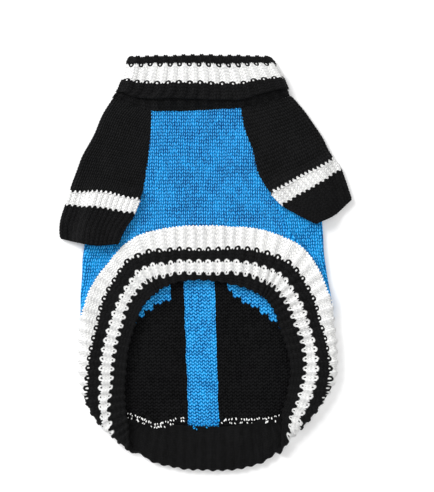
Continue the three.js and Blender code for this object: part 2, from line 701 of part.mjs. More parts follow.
// A cuff: a flattened tube of 1x1 rib, from the sleeve's end to the wrist opening
function cuff(side) {
  const patch = coonsPatch(
    planCurve(side.crease, 0, -SEAM_GAP),
    planCurve(side.cuffEnd),
    planCurve(side.cuffInner),
    planCurve(side.cuffOuter),
  );
  const places = flatTubePlaces(CUFF_RIBS * 2, TYPICAL_CUFF_WIDTH, CUFF_RADIUS);
  const point = ({ along, across, up }, down, radius, rib) => {
    const [near, far] = [patch(0, down), patch(1, down)];
    const width = Math.hypot(far[0] - near[0], far[1] - near[1]);
    const middle = mix(CUFF_RADIUS, width - CUFF_RADIUS, (along + 1) / 2);
    const [x, y] = patch((middle + across * (radius + rib)) / width, down);
    const lift = 1 + (side.cuffEndLift / SLEEVE_LIFT) * smoothstep(CUFF_RISE_START, 1, down);
    const carried = carriedHeight(side, x, y, lift);
    const ribbing = up < 0 ? rib * Math.min(carried / SLEEVE_LIFT, 1) : rib;
    return [x, y, CUFF_RADIUS + up * (radius + ribbing) + carried];
  };
  const ribbed = CUFF_ROWS.map((down) => places.map((place, k) => (
    point(place, down, CUFF_RADIUS, k % 2 ? CUFF_RIB_HEIGHT : 0)
  )));
  const plain = CUFF_ROWS.map((down) => places.filter((_, k) => k % 2 === 0).map((place) => (
    point(place, down, CUFF_RADIUS - CUFF_WALL, 0)
  )));
  return ribbedRing(ribbed, plain);
}

// The collar: one strip of 2x2 rib, up from the neck seam as the stand and turned down as the flap
function collar() {
  const bendInside = COLLAR_BEND_INSIDE;
  const bendOutside = bendInside + PANEL_WALL;
  const bendCentre = COLLAR_STAND_INSIDE + bendOutside;
  const flapOutside = bendCentre + bendOutside;
  const limits = through(COLLAR_WIDTHS, COLLAR_COLUMNS.length - 1);
  const topY = through(COLLAR_TOP);
  const flapEdgeY = through(FLAP_EDGE);
  const middleX = (y, along) => {
    const [left, right] = limits(y);
    return mix(left + flapOutside, right - flapOutside, (along + 1) / 2);
  };
  const point = ({ along, across, up }, face, part, step, rib) => {
    const standRadius = face === 'ribbed' ? COLLAR_STAND_INSIDE : bendCentre - bendInside;
    const base = neckSeamY(middleX(COLLAR_SEAM_Y, along) + across * standRadius);
    const top = topY(middleX(COLLAR_TOP_Y, along)) - bendOutside;
    const edge = flapEdgeY(middleX(COLLAR_EDGE_Y, along));
    let radius = 0;
    let y = 0;
    let ribbing = 0;
    if (part === 'stand') {
      radius = standRadius;
      y = mix(base, top, step);
    } else if (part === 'bend') {
      const angle = THREE.MathUtils.degToRad(step);
      ribbing = rib * Math.sin(angle) * COLLAR_BEND_RIB_SHARE;
      const bend = (face === 'ribbed' ? bendOutside : bendInside) + ribbing;
      radius = bendCentre + bend * Math.cos(angle);
      y = top + bend * Math.sin(angle);
    } else {
      ribbing = rib * smoothstep(-0.6, 0.2, up);
      radius = (face === 'ribbed' ? flapOutside : bendCentre + bendInside) + ribbing;
      y = mix(top, edge, step);
    }
    const clear = smoothstep(0, (edge - base) * COLLAR_CLEAR_SHARE, y - base);
    const middleZ = part === 'flap' ? flapOutside : mix(PANEL_RADIUS, flapOutside, clear);
    return [middleX(y, along) + across * radius, y, middleZ + up * radius];
  };
  const parts = [
    ...COLLAR_STAND_STEPS.map((step) => ['stand', step]),
    ...COLLAR_BEND_ANGLES.map((step) => ['bend', step]),
    ...COLLAR_FLAP_STEPS.map((step) => ['flap', step]),
  ];
  const places = flatTubePlaces(COLLAR_RIBS * 2, TYPICAL_COLLAR_LENGTH, flapOutside);
  const ribbed = parts.map(([part, step]) => places.map((place, k) => (
    point(place, 'ribbed', part, step, k % 2 ? COLLAR_RIB_HEIGHT : 0)
  )));
  const plain = parts.map(([part, step]) => places.filter((_, k) => k % 2 === 0).map((place) => (
    point(place, 'plain', part, step, 0)
  )));
  return ribbedRing(ribbed, plain);
}

// The scene

function knit(colour) {
  return new THREE.MeshStandardMaterial({ color: colour, roughness: 0.92, metalness: 0 });
}

function piece(name, geometry, colour) {
  const mesh = new THREE.Mesh(geometry, knit(colour));
  mesh.name = name;
  return mesh;
}

const sweater = new THREE.Group();
sweater.add(
  piece('back_panel', backPanel(), COLOURS.black),
  piece('belly_panel', bellyPanel(), COLOURS.blue),
  piece('sleeve_left', sleeve(LEFT), COLOURS.black),
  piece('sleeve_right', sleeve(RIGHT), COLOURS.black),
  piece('cuff_left', cuff(LEFT), COLOURS.black),
  piece('cuff_right', cuff(RIGHT), COLOURS.black),
  piece('collar', collar(), COLOURS.black),
  piece('hem_band', hemBand(), COLOURS.white),
);

// The origin is the middle of the whole outline, on the surface that the sweater lies on
const outline = new THREE.Box3().setFromObject(sweater);
const middle = outline.getCenter(new THREE.Vector3());
sweater.position.set(-middle.x, -middle.y, -outline.min.z);

export default sweater;
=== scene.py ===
"""A knitted dog sweater laid flat on its back, dressed over its solid parts.

The pattern is worked out in millimetres, from above, with the collar toward +Y, and turned into metres
only when a mesh is made. Every surface is a grid of points; knit relief is added along its normals.
"""

import math
from types import SimpleNamespace

import bpy
import numpy as np
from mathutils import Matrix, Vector
from mathutils.bvhtree import BVHTree


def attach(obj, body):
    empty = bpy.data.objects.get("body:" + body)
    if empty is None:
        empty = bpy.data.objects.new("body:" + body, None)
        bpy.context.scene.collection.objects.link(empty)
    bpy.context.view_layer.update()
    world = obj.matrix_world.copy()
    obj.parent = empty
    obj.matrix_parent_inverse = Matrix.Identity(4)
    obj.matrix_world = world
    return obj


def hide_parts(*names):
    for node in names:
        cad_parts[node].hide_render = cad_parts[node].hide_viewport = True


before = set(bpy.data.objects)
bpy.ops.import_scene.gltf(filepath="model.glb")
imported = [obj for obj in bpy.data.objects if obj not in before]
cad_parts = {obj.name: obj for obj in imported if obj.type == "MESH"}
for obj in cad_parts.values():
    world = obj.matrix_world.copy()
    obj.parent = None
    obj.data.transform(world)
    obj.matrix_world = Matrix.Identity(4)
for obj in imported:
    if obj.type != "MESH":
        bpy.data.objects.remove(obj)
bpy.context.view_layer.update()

bl_info = {
    "name": "Dog sweater",
    "version": (1, 0, 0),
    "blender": (4, 5, 0),
    "location": "3D View > Sidebar > Sweater",
    "description": "Builds a knitted dog sweater, its floor, light and camera",
    "category": "Add Mesh",
}

METRE = 0.001

# Cloth, layers and seams, in millimetres
PANEL_WALL = 2.0
CUFF_WALL = 1.8
BAND_WALL = 4.2
PANEL_RADIUS = 2.3
CUFF_RADIUS = 2.1
BAND_RADIUS = 4.4
SEAM_GAP = -0.15

# Height of a sleeve's end where it lies on the body
SLEEVE_LIFT = 5.5
SLEEVE_RISE_START = 0.84
BODY_EDGE_OUTSIDE = 12
BODY_EDGE_INSIDE = 1

# How far each rib pushes the band's free edge out, where that starts, and how much of it goes inward
EDGE_WAVE = 0.5
EDGE_WAVE_START = 0.86
EDGE_WAVE_INWARD = 0.4

# Nothing inside the back stands higher than this where the opening shows it
RIM_HEIGHT = 7.5

# The band's top layer settles onto the back panel past its own lower layer
BAND_SAG = 2.0
BAND_SAG_START = 3
BAND_SAG_LENGTH = 12
FLUSH_LENGTH = 14

COLLAR_BEND_INSIDE = 0.2
COLLAR_STAND_INSIDE = 0.3
COLLAR_CLEAR_SHARE = 0.9

# Outlines in millimetres, close to the solids' own
NECK_SEAM = [
    (-62.9, 112.4), (-51.7, 107.5), (-37.4, 103.9), (-21.1, 103.7), (-4.1, 104.3),
    (12.9, 105.2), (23.8, 106.0), (38.1, 108.3), (49.0, 111.2), (57.3, 114.4),
]
LEFT = SimpleNamespace(
    name="left",
    outward=-1,
    body_fold=[
        (-60, -86), (-42, -85.7), (-25, -85.7), (-11.4, -85), (12.4, -83), (30, -79), (47, -74),
    ],
    outer_fold=[
        (-62.9, 112.4), (-69, 104.2), (-75.5, 88.9), (-80.6, 78.7), (-84.9, 70.2), (-89.1, 60), (-93.2, 47.8),
    ],
    raglan=[(-37.4, 103.9), (-38.1, 90.6), (-39.4, 74), (-42.2, 53.2), (-45, 42.5)],
    armhole=[(-49.6, 106.8), (-60.5, 79), (-74, 47.4)],
    crease=[(-45, 42.5), (-58.5, 44.6), (-66.6, 46.8), (-74, 47.4), (-93.2, 47.8)],
    cuff_inner=[(-45, 42.5), (-50, 32.1), (-54.4, 25.3), (-60, 13)],
    cuff_outer=[(-93.2, 47.8), (-95.9, 38.9), (-99.3, 20.9), (-98.8, 16.5)],
    cuff_end=[(-60, 13), (-72, 12.2), (-84, 13.3), (-98.8, 16.5)],
    cuff_end_lift=2.5,
    seam_end_x=-63.2,
)
RIGHT = SimpleNamespace(
    name="right",
    outward=1,
    body_fold=[
        (-60, 88.4), (-33.8, 86.4), (-21.6, 85.3), (-8, 82.8), (9, 80.6), (26, 79.5), (64.4, 77),
    ],
    outer_fold=[
        (57.3, 114.4), (60.5, 111), (66.4, 104.2), (72.4, 95.7), (79.2, 85.5), (83.4, 77), (87.7, 70.2),
    ],
    raglan=[(23.8, 106.0), (26.5, 91.3), (32, 76.3), (36.7, 59.3), (44.5, 47)],
    armhole=[(44, 109.8), (59.5, 87.5), (77, 64.4)],
    crease=[(44.5, 47), (60.7, 55.6), (77, 64.4), (87.7, 70.2)],
    cuff_inner=[(44.5, 47), (53, 38.9), (60.5, 34.5), (70.7, 29.4), (75.8, 26.9)],
    cuff_outer=[(87.7, 70.2), (91.1, 66), (93.4, 60), (99.3, 43)],
    cuff_end=[(75.8, 26.9), (86, 32.1), (99.3, 43)],
    cuff_end_lift=0.0,
    seam_end_x=55.8,
)
SIDES = (LEFT, RIGHT)

# The hem band's lines. Columns: x and y of the outermost point, turn in degrees, length under the
# fold, width
BAND_LINES = [
    (0.0, 25.3, -90, -22, 37.1),
    (-27.9, 23.3, -86, -22, 38.8),
    (-46.2, 18.5, -70, -22, 39.8),
    (-57.8, 11.0, -52, -22, 39.4),
    (-66.6, -0.5, -38, -19, 37.0),
    (-74.1, -10.0, -30, -12, 37.4),
    (-80.2, -23.0, -22, -5.7, 37.0),
    (-85.7, -42.0, -15, 0, 35.4),
    (-86.0, -55.6, -9, 3.4, 36.0),
    (-85.7, -76.0, -1, 6.1, 36.7),
    (-84.0, -87.6, 5, 7.5, 35.6),
    (-78.2, -101.2, 15, 8.6, 32.0),
    (-71.4, -110.7, 24, 10.9, 29.4),
    (-65.3, -116.1, 33, 15.6, 29.6),
    (-57.8, -122.9, 48, 21.0, 28.6),
    (-49.6, -129.0, 70, 26.8, 26.0),
    (-38.1, -134.5, 82, 30.4, 26.6),
    (-23.1, -138.6, 88, 32.0, 28.4),
    (0.0, -140.9, 90, 33.2, 29.2),
    (23.1, -139.9, 92, 33.2, 29.2),
    (38.1, -135.8, 96, 32.0, 28.4),
    (48.0, -130.1, 102, 28.2, 25.2),
    (54.9, -122.9, 120, 20.0, 26.0),
    (61.9, -115.4, 142, 16.3, 28.6),
    (68.7, -108.0, 157, 11.0, 29.0),
    (76.8, -98.4, 167, 8.8, 31.3),
    (84.3, -87.6, 174, 8.4, 36.2),
    (88.4, -73.9, 180, 6.8, 37.1),
    (88.4, -55.6, 187, 4.1, 36.6),
    (86.4, -33.8, 197, 0, 37.2),
    (81.8, -17.2, 207, -4, 38.8),
    (76.8, -5.3, 216, -8, 40.4),
    (70.7, 4.9, 226, -13, 42.4),
    (63.2, 12.4, 236, -20, 43.0),
    (53.0, 17.6, 249, -22, 43.0),
    (38.1, 22.4, 261, -22, 42.0),
    (16.3, 24.9, 268, -22, 39.0),
]

# Where the band's colours change. Columns: place round the band, then the shares of its width at
# which the first white, the first black and the second white end
BAND_STRIPES = [
    (0.0, 0.42, 0.64, 0.89),
    (0.05, 0.38, 0.60, 0.83),
    (0.11, 0.24, 0.51, 0.75),
    (0.15, 0.26, 0.55, 0.73),
    (0.20, 0.27, 0.53, 0.75),
    (0.25, 0.27, 0.53, 0.75),
    (0.295, 0.27, 0.52, 0.72),
    (0.315, 0.26, 0.46, 0.65),
    (0.335, 0.25, 0.42, 0.59),
    (0.38, 0.25, 0.42, 0.60),
    (0.5, 0.30, 0.53, 0.77),
    (0.65, 0.28, 0.525, 0.77),
    (0.72, 0.27, 0.52, 0.75),
    (0.765, 0.25, 0.47, 0.69),
    (0.80, 0.23, 0.46, 0.70),
    (0.85, 0.28, 0.53, 0.76),
    (0.89, 0.30, 0.55, 0.77),
    (0.95, 0.34, 0.58, 0.79),
]
STRIPE_COURSES = (0, 5, 8.5, 12, 16)

# The collar's stripe and the end of a cuff's, in courses
COLLAR_COURSES = (0, 14, 16, 28)
COLLAR_STRIPE = (18.0, 23.0)
CUFF_COURSES = 15
CUFF_STRIPE = 4.0
RIB_STITCHES = 4
CUFF_RIB_STITCHES = 2

# Grids, in points. Band and cuffs: for a rib, rows, rows inside. Collar: for a rib, rows of the stand and
# of the flap, rows of the bend. Sleeves: rows, rows inside, on the front, on the back. Back: across a
# half, along. Belly: rows, rows inside, across
BAND_GRID = (10, 105, 27)
CUFF_GRID = (12, 89, 12)
COLLAR_GRID = (12, 61, 13)
SLEEVE_GRID = (181, 13, 150, 80)
BACK_GRID = (90, 121)
BELLY_GRID = (241, 13, 361)

# Flat widths on which the ribs of a cuff and of the collar are spaced
CUFF_SPACING = 42
COLLAR_SPACING = 112

# A cuff's stitches against a panel's, depth of the lining's ribs, ribs and stitches of the stand
CUFF_STITCH_SHARE = 0.8
LINING_RELIEF = 0.5
STAND_RIB, STAND_STITCH = 0.45, 0.3

# The sleeve's end stands this far above the crease, and the raglan takes this share of the belly's edge
CREASE_UP = 0.05
RAGLAN_SHARE = 0.62

# The armhole's columns of the back reach this share of the way to the middle of the band's seam, and
# stand this far inside the side fold
ARMHOLE_SHARE = 0.62
ARMHOLE_INSET = 4

# Largest share of a back's column that bends to the seam, share of the belly's hem pulled to each
# corner, and where the belly rises to the band
FLUSH_SHARE = 0.8
HEM_PULL = 0.1
BELLY_RISE_START = 0.85

# Sewing: rings and points of a loop, its pitch in stitches, jitter, length against the pitch, and slant
LOOP_RINGS, LOOP_POINTS = 7, 6
SEAM_PITCH = 0.75
SEAM_JITTER = 0.12
SEAM_LENGTH = 0.75
SEAM_SLANT = 0.9

# Specks: pitch, jitter, and a loop's length, slant, rise and thickness; how far both rows lie from their
# line, and the share of each that shows
SPECK_PITCH = 1.75
SPECK_JITTER = 0.3
SPECK_LOOP = (1.7, 0.2, 0.55, 0.42)
SPECK_ROWS = (1.1, -1.3)
SPECK_SHOWN = (0.9, 0.6)
SPECK_PROUD = 0.25

LINE_STEPS = 60
START_STEPS = 9
FLOOR_CLEAR = 0.02
BORDERS = ("top", "bottom", "first", "last")

# The back's blue: width of a step in stitches, both stepped lines as slope and height, where both
# corners end toward the middle, and the stripe
BLUE_STEP = 2
BLUE_LEFT = (0.72, -1.3)
BLUE_RIGHT = (-0.68, -9.4)
BLUE_CORNERS = (-25.0, 16.3)
BLUE_STRIPE = (-15.0, 6.1)

# The back's wales drift sideways by this share of the way down from a height
WALE_LEAN = 0.033
WALE_LEAN_FROM = -20

# The collar's outline, as heights with the limits there, its top edge and the flap's free edge
COLLAR_WIDTHS = [
    (104, -65.3, 59.7), (112.4, -65.2, 59.6), (116.5, -60.0, 56.4), (122, -57.8, 53.9),
    (128, -55.2, 51.5), (134, -53.7, 47.8), (140.6, -52.4, 43.7),
]
COLLAR_TOP = [(-52, 139.6), (-30, 140.4), (-4, 140.8), (20, 140.4), (44, 139.6)]
FLAP_EDGE = [
    (-60, 117.2), (-48.3, 113.6), (-38, 111.7), (-17.7, 112.2), (12.9, 110.9), (26.5, 111.6), (36, 114.6),
    (56, 119.4),
]

# The two rows of white specks inside the back, where the band's seam allowance is linked
SPECK_LINE = [
    (-54, -103.6), (-47, -105.8), (-33.3, -110.6), (-24, -108.8), (-14.3, -106.6), (-6.1, -111.6),
    (4, -109.6), (12.9, -108), (26, -107.8), (38.1, -107.3), (50, -105.4),
]

# Heights at which the collar's places are taken on its seam, free edge and top
SEAM_HEIGHT, EDGE_HEIGHT, TOP_HEIGHT = 110, 116, 140

# Soft ridges and troughs of the cloth: from, to, width and height
CREASES = [
    ((-34, 98), (-8, 66), 8, 2.0),
    ((-22, 100), (2, 78), 6, -1.1),
    ((20, 100), (30, 70), 9, 1.7),
    ((8, 96), (14, 60), 8, -0.9),
    ((-50, 34), (-10, 44), 8, 1.4),
    ((44, 40), (10, 44), 9, 1.3),
    ((-36, 52), (-26, 30), 7, -0.9),
    ((-46, 46), (-66, 72), 7, 1.5),
    ((-52, 43), (-74, 62), 6, -0.8),
    ((-52, 96), (-64, 66), 9, 1.4),
    ((48, 50), (70, 78), 7, 1.3),
    ((56, 53), (78, 70), 6, -0.7),
    ((44, 96), (62, 74), 9, 1.4),
    ((-80, 34), (-84, 18), 7, 0.6),
    ((82, 46), (90, 40), 7, 0.6),
    ((-78, 20), (-80, -8), 6, 0.8),
    ((76, 14), (78, -6), 6, 0.8),
    ((-30, -30), (-36, -84), 10, 0.9),
    ((-12, -24), (-14, -92), 8, -0.5),
    ((30, -34), (36, -88), 10, 0.8),
    ((-44, -103), (-16, -108), 4, 1.0),
    ((-10, -109), (44, -104), 4, 1.0),
    ((-44, -111), (-10, -115), 5, -0.9),
    ((0, -115), (46, -111), 5, -0.9),
    ((-30, 132), (-8, 118), 8, 0.8),
    ((16, 134), (34, 120), 8, 0.7),
    ((-40, 118), (-52, 130), 6, -0.5),
    ((-60, -8), (-50, 8), 8, 0.7),
    ((62, -4), (50, 10), 8, 0.7),
]
# Long waves that make every line a little uneven: direction in degrees, length, phase
WAVES = [(20, 31, 0.3), (75, 23, 1.7), (130, 41, 4.1), (165, 17, 2.6)]


def number(name, about, default, **limits):
    """A number to set in the sidebar."""
    return bpy.props.FloatProperty(name=name, description=about, default=default, **limits)


def whole(name, about, default):
    """A whole number to set in the sidebar."""
    return bpy.props.IntProperty(name=name, description=about, default=default)


def colour(name, about, default):
    """A colour to set in the sidebar."""
    return bpy.props.FloatVectorProperty(
        name=name, description=about, default=default, subtype="COLOR", min=0, max=1
    )


class SweaterKnit(bpy.types.PropertyGroup):
    """Stitch sizes and relief, in millimetres."""

    wale: number("Wale", "Width of a stitch", 3.05, min=0.5)
    course: number("Course", "Height of a stitch", 2.32, min=0.5)
    relief: number("Relief", "Height of a stitch's legs", 0.6)
    rib_relief: number("Rib relief", "Height of a 2x2 rib", 0.75)
    cuff_relief: number("Cuff relief", "Height of a 1x1 rib", 0.5)
    band_ribs: whole("Band ribs", "Ribs round the hem", 72)
    collar_ribs: whole("Collar ribs", "Ribs round the collar", 32)
    cuff_ribs: whole("Cuff ribs", "Ribs round a cuff", 28)


class SweaterYarn(bpy.types.PropertyGroup):
    """Yarn colours: lit, and with painted shade in the gaps between stitches."""

    blue: colour("Blue", "Blue yarn", (0.014, 0.42, 0.96))
    # The gap colours are painted shade between the stitches
    blue_gap: colour("Blue gaps", "Between blue stitches", (0.001, 0.038, 0.18))
    black: colour("Black", "Black yarn", (0.0085, 0.0085, 0.009))
    black_gap: colour("Black gaps", "Between black stitches", (0.0006, 0.0006, 0.0007))
    white: colour("White", "White yarn", (0.96, 0.96, 0.94))
    white_gap: colour("White gaps", "Between white stitches", (0.77, 0.77, 0.78))


class SweaterView(bpy.types.PropertyGroup):
    """The photograph's view, in metres."""

    height_px: whole("Photograph's height", "In pixels", 492)
    pixel: number("Pixel", "Size of one pixel on the sweater", 0.00068, precision=5)
    middle_x: number("Middle X", "Where the view's middle meets the sweater", 0.0075, subtype="DISTANCE")
    middle_y: number("Middle Y", "Where the view's middle meets the sweater", 0.0117, subtype="DISTANCE")
    lens: number("Lens", "In millimetres", 100.0)
    focus_height: number("Scale's height", "Height at which a pixel has its size", 0.006, subtype="DISTANCE")


# Curves and patches


def evenly(count):
    """Even shares from 0 to 1."""
    return np.linspace(0, 1, count)


def unit(vectors):
    """Vectors made 1 long."""
    return vectors / np.maximum(np.linalg.norm(vectors, axis=-1, keepdims=True), 1e-9)


def smoothstep(low, high, value):
    """Rises from 0 at low to 1 at high, level at both: 3t squared less 2t cubed."""
    t = np.clip((value - low) / (high - low), 0, 1)
    return t * t * (3 - 2 * t)


def mix(a, b, t):
    """a at t = 0 and b at t = 1."""
    return a + (b - a) * t


def through(rows, period=None):
    """A function through rows of (input, outputs...), one cubic Hermite piece between each two rows."""
    rows = np.asarray(rows, float)
    if period:
        shift = np.zeros(rows.shape[1])
        shift[0] = period
        rows = np.vstack([rows[-2:] - shift, rows, rows[:2] + shift])
    places, values = rows[:, 0], rows[:, 1:]
    spans = np.diff(places)
    rises = np.diff(values, axis=0) / spans[:, None]
    slopes = np.empty_like(values)
    slopes[0], slopes[-1] = rises[0], rises[-1]
    weights = (spans[:-1] + spans[1:])[:, None]
    slopes[1:-1] = (rises[:-1] * spans[1:, None] + rises[1:] * spans[:-1, None]) / weights

    def curve(at):
        at = np.clip(np.asarray(at, float), places[0], places[-1])
        i = np.clip(np.searchsorted(places, at, side="left") - 1, 0, len(places) - 2)
        t = ((at - places[i]) / spans[i])[..., None]
        bend = (t * (1 - t) ** 2 * slopes[i] - t * t * (1 - t) * slopes[i + 1]) * spans[i][..., None]
        return mix(values[i], values[i + 1], t * t * (3 - 2 * t)) + bend

    return curve


def line_through(rows):
    """A function through rows of (input, output)."""
    curve = through(rows)
    return lambda at: curve(at)[..., 0]


def plan_curve(points, shift=(0.0, 0.0)):
    """A curve through plan points, from 0 to 1 by the length of its chords."""
    points = np.asarray(points, float) + shift
    lengths = np.concatenate([[0], np.cumsum(np.linalg.norm(np.diff(points, axis=0), axis=1))])
    curve = through(np.column_stack([lengths, points]))
    return lambda t: curve(np.asarray(t) * lengths[-1])


def coons_patch(start, end, near, far):
    """Start and end run across, near and far run along: the two ruled patches less the corners' one."""

    def patch(across, along):
        a, b = across[..., None], along[..., None]
        ruled = mix(start(across), end(across), b) + mix(near(along), far(along), a)
        corners = mix(mix(start(0.0), start(1.0), a), mix(end(0.0), end(1.0), a), b)
        return ruled - corners

    return patch


def fold_point(arc, radius, wall, depth=0.0):
    """Reach and height of a cloth folded flat on itself, depth under its outer face.

    Over the quarter turns the point is on a circle of radius less depth; past them it goes straight on.
    """
    middle = radius - wall / 2
    angle = np.clip(arc / middle, -math.pi / 2, math.pi / 2)
    straight = np.maximum(np.abs(arc) - middle * math.pi / 2, 0)
    size = radius - depth
    return radius - size * np.cos(angle) + straight, radius + size * np.sin(angle)


def find_place(measure, wanted, low, high):
    """The place between low and high where a measure reaches a wanted value, by halving."""
    rising = measure(high) > measure(low)
    for _ in range(40):
        middle = (low + high) / 2
        if (measure(middle) < wanted) == rising:
            low = middle
        else:
            high = middle
    return (low + high) / 2


def crease_height(x, y):
    """Sum of the creases: each one's height times a bell of the distance from its line."""
    total = np.zeros(np.shape(x))
    for (x0, y0), (x1, y1), width, height in CREASES:
        dx, dy = x1 - x0, y1 - y0
        t = np.clip(((x - x0) * dx + (y - y0) * dy) / (dx * dx + dy * dy), 0, 1)
        distance = np.hypot(x - x0 - t * dx, y - y0 - t * dy)
        total += height * np.exp(-((distance / width) ** 2))
    return total


def long_waves(x, y, offset):
    """Sum of sines, each along its own direction, from about -1 to 1."""
    total = np.zeros(np.shape(x))
    for turn, length, phase in WAVES:
        angle = math.radians(turn)
        total += np.sin((x * math.cos(angle) + y * math.sin(angle)) * 2 * math.pi / length + phase + offset)
    return total / len(WAVES)


def settled(points):
    """Points moved by the creases and the long waves; what rests on the floor stays down."""
    x, y, z = np.moveaxis(points, -1, 0)
    lifted = smoothstep(0.8, 4.2, z)
    rise = lifted * (crease_height(x, y) + 0.5 * long_waves(x, y, 0))
    shift = 0.45 * long_waves(x, y, 2), 0.45 * long_waves(x, y, 5)
    return np.stack([x + shift[0], y + shift[1], z + rise], axis=-1)


PANEL_QUARTER = (PANEL_RADIUS - PANEL_WALL / 2) * math.pi / 2
neck_seam_y = line_through(NECK_SEAM)


def from_neck(curve, end_rise=0.0):
    """A plan curve from the neck downward, moved to start just below the neck seam."""
    start = curve(0.0)
    rise = neck_seam_y(start[0]) - SEAM_GAP - start[1]

    def moved(along):
        point = np.array(curve(along))
        point[..., 1] += mix(rise, end_rise, np.asarray(along))
        return point

    return moved


# The hem band


def band_table():
    """The band's lines as a function of the place round it, even in the length along their middles."""
    rows = np.array(BAND_LINES, float)
    x, y, turn, under, width = rows.T
    nearest = np.clip(0, -under, width - under)
    reach = fold_point(nearest, BAND_RADIUS, BAND_WALL)[0]
    angle = np.radians(turn)
    way = np.column_stack([np.cos(angle), np.sin(angle)])
    start = np.column_stack([x, y]) - reach[:, None] * way
    middles = start + np.abs(width / 2 - under)[:, None] * way
    steps = np.linalg.norm(np.roll(middles, -1, axis=0) - middles, axis=1)
    at = np.concatenate([[0], np.cumsum(steps[:-1])])
    length = steps.sum()
    even_turn = turn - 360 * at / length
    table = through(np.column_stack([at, start, even_turn, under, width]), length)

    def line(place):
        at = np.mod(place, 1.0) * length
        values = np.moveaxis(table(at), -1, 0)
        angle = np.radians(values[2] + 360 * at / length)
        return values[0], values[1], np.cos(angle), np.sin(angle), values[3], values[4]

    return line


band_line = band_table()


def band_point(line, arc, depth=0.0):
    """A point of a line of the band, arc from its side fold and depth under its outer face."""
    x, y, dx, dy, under, _ = line
    reach, z = fold_point(arc, BAND_RADIUS, BAND_WALL, depth)
    start = np.maximum(under, 0) + BAND_SAG_START
    sag = BAND_SAG * smoothstep(start, start + BAND_SAG_LENGTH, arc)
    return np.stack([x + reach * dx, y + reach * dy, z - sag], axis=-1)


def band_edge(place, gap=SEAM_GAP):
    """Where a panel's outer and inner faces meet the band's seam, flush with the band's outer face."""
    line = band_line(place)
    arc = -line[4] - gap
    return band_point(line, arc), band_point(line, arc, PANEL_WALL)


for side in SIDES:
    side.fold_x = line_through(side.body_fold)
hem_middle = find_place(lambda place: band_edge(place)[0][0], 0, 0.4, 0.6)
for side in SIDES:
    belly_middle = 0.0 if side.outward < 0 else 1.0
    quarter_way = mix(belly_middle, hem_middle, 0.45)
    side.seam_end = find_place(
        lambda place: band_edge(place)[0][0], side.seam_end_x, belly_middle, quarter_way
    )
    side.fold_place = find_place(lambda place: band_line(place)[4], 0, side.seam_end, hem_middle)


# Meshes


def grid_normals(points, closed):
    """Unit normals of a grid, the cross product of its two differences, turned away from its middle."""
    if closed:
        padded = np.concatenate([points[:, -1:], points, points[:, :1]], axis=1)
        across = (padded[:, 2:] - padded[:, :-2]) / 2
    else:
        across = np.gradient(points, axis=1)
    along = np.gradient(points, axis=0)
    normals = np.cross(along, across)
    outward = np.sign(np.sum(normals * (points - points.mean(axis=(0, 1)))))
    return outward * unit(normals)


def grid_faces(rows, columns, closed, first):
    """Quads of a grid, and the same quads in an array that repeats the first column at its end."""
    i, j = np.meshgrid(np.arange(rows - 1), np.arange(columns - (not closed)), indexing="ij")
    i, j = i.ravel(), j.ravel()
    corners = [(i, j), (i, j + 1), (i + 1, j + 1), (i + 1, j)]
    quads = np.stack([first + a * columns + b % columns for a, b in corners], axis=1)
    cells = np.stack([a * (columns + 1) + b for a, b in corners], axis=1)
    return quads, cells


def zip_edges(fine, coarse):
    """Triangles between two edges, the fine one with a whole number of steps for each coarse step."""
    ratio = (len(fine) - 1) // (len(coarse) - 1)
    step = np.arange(len(fine) - 1)
    owner = (step + ratio // 2) // ratio
    first = np.stack([fine[step], fine[step + 1], coarse[owner]], axis=1)
    j = np.arange(len(coarse) - 1)
    turn = j * ratio + ratio - ratio // 2
    second = np.stack([coarse[j], fine[turn], coarse[j + 1]], axis=1)
    return np.concatenate([first, second])


def fill(data, label, values, kind=np.float32):
    """Sets a value on every element of a mesh."""
    data.foreach_set(label, values.astype(kind).ravel())


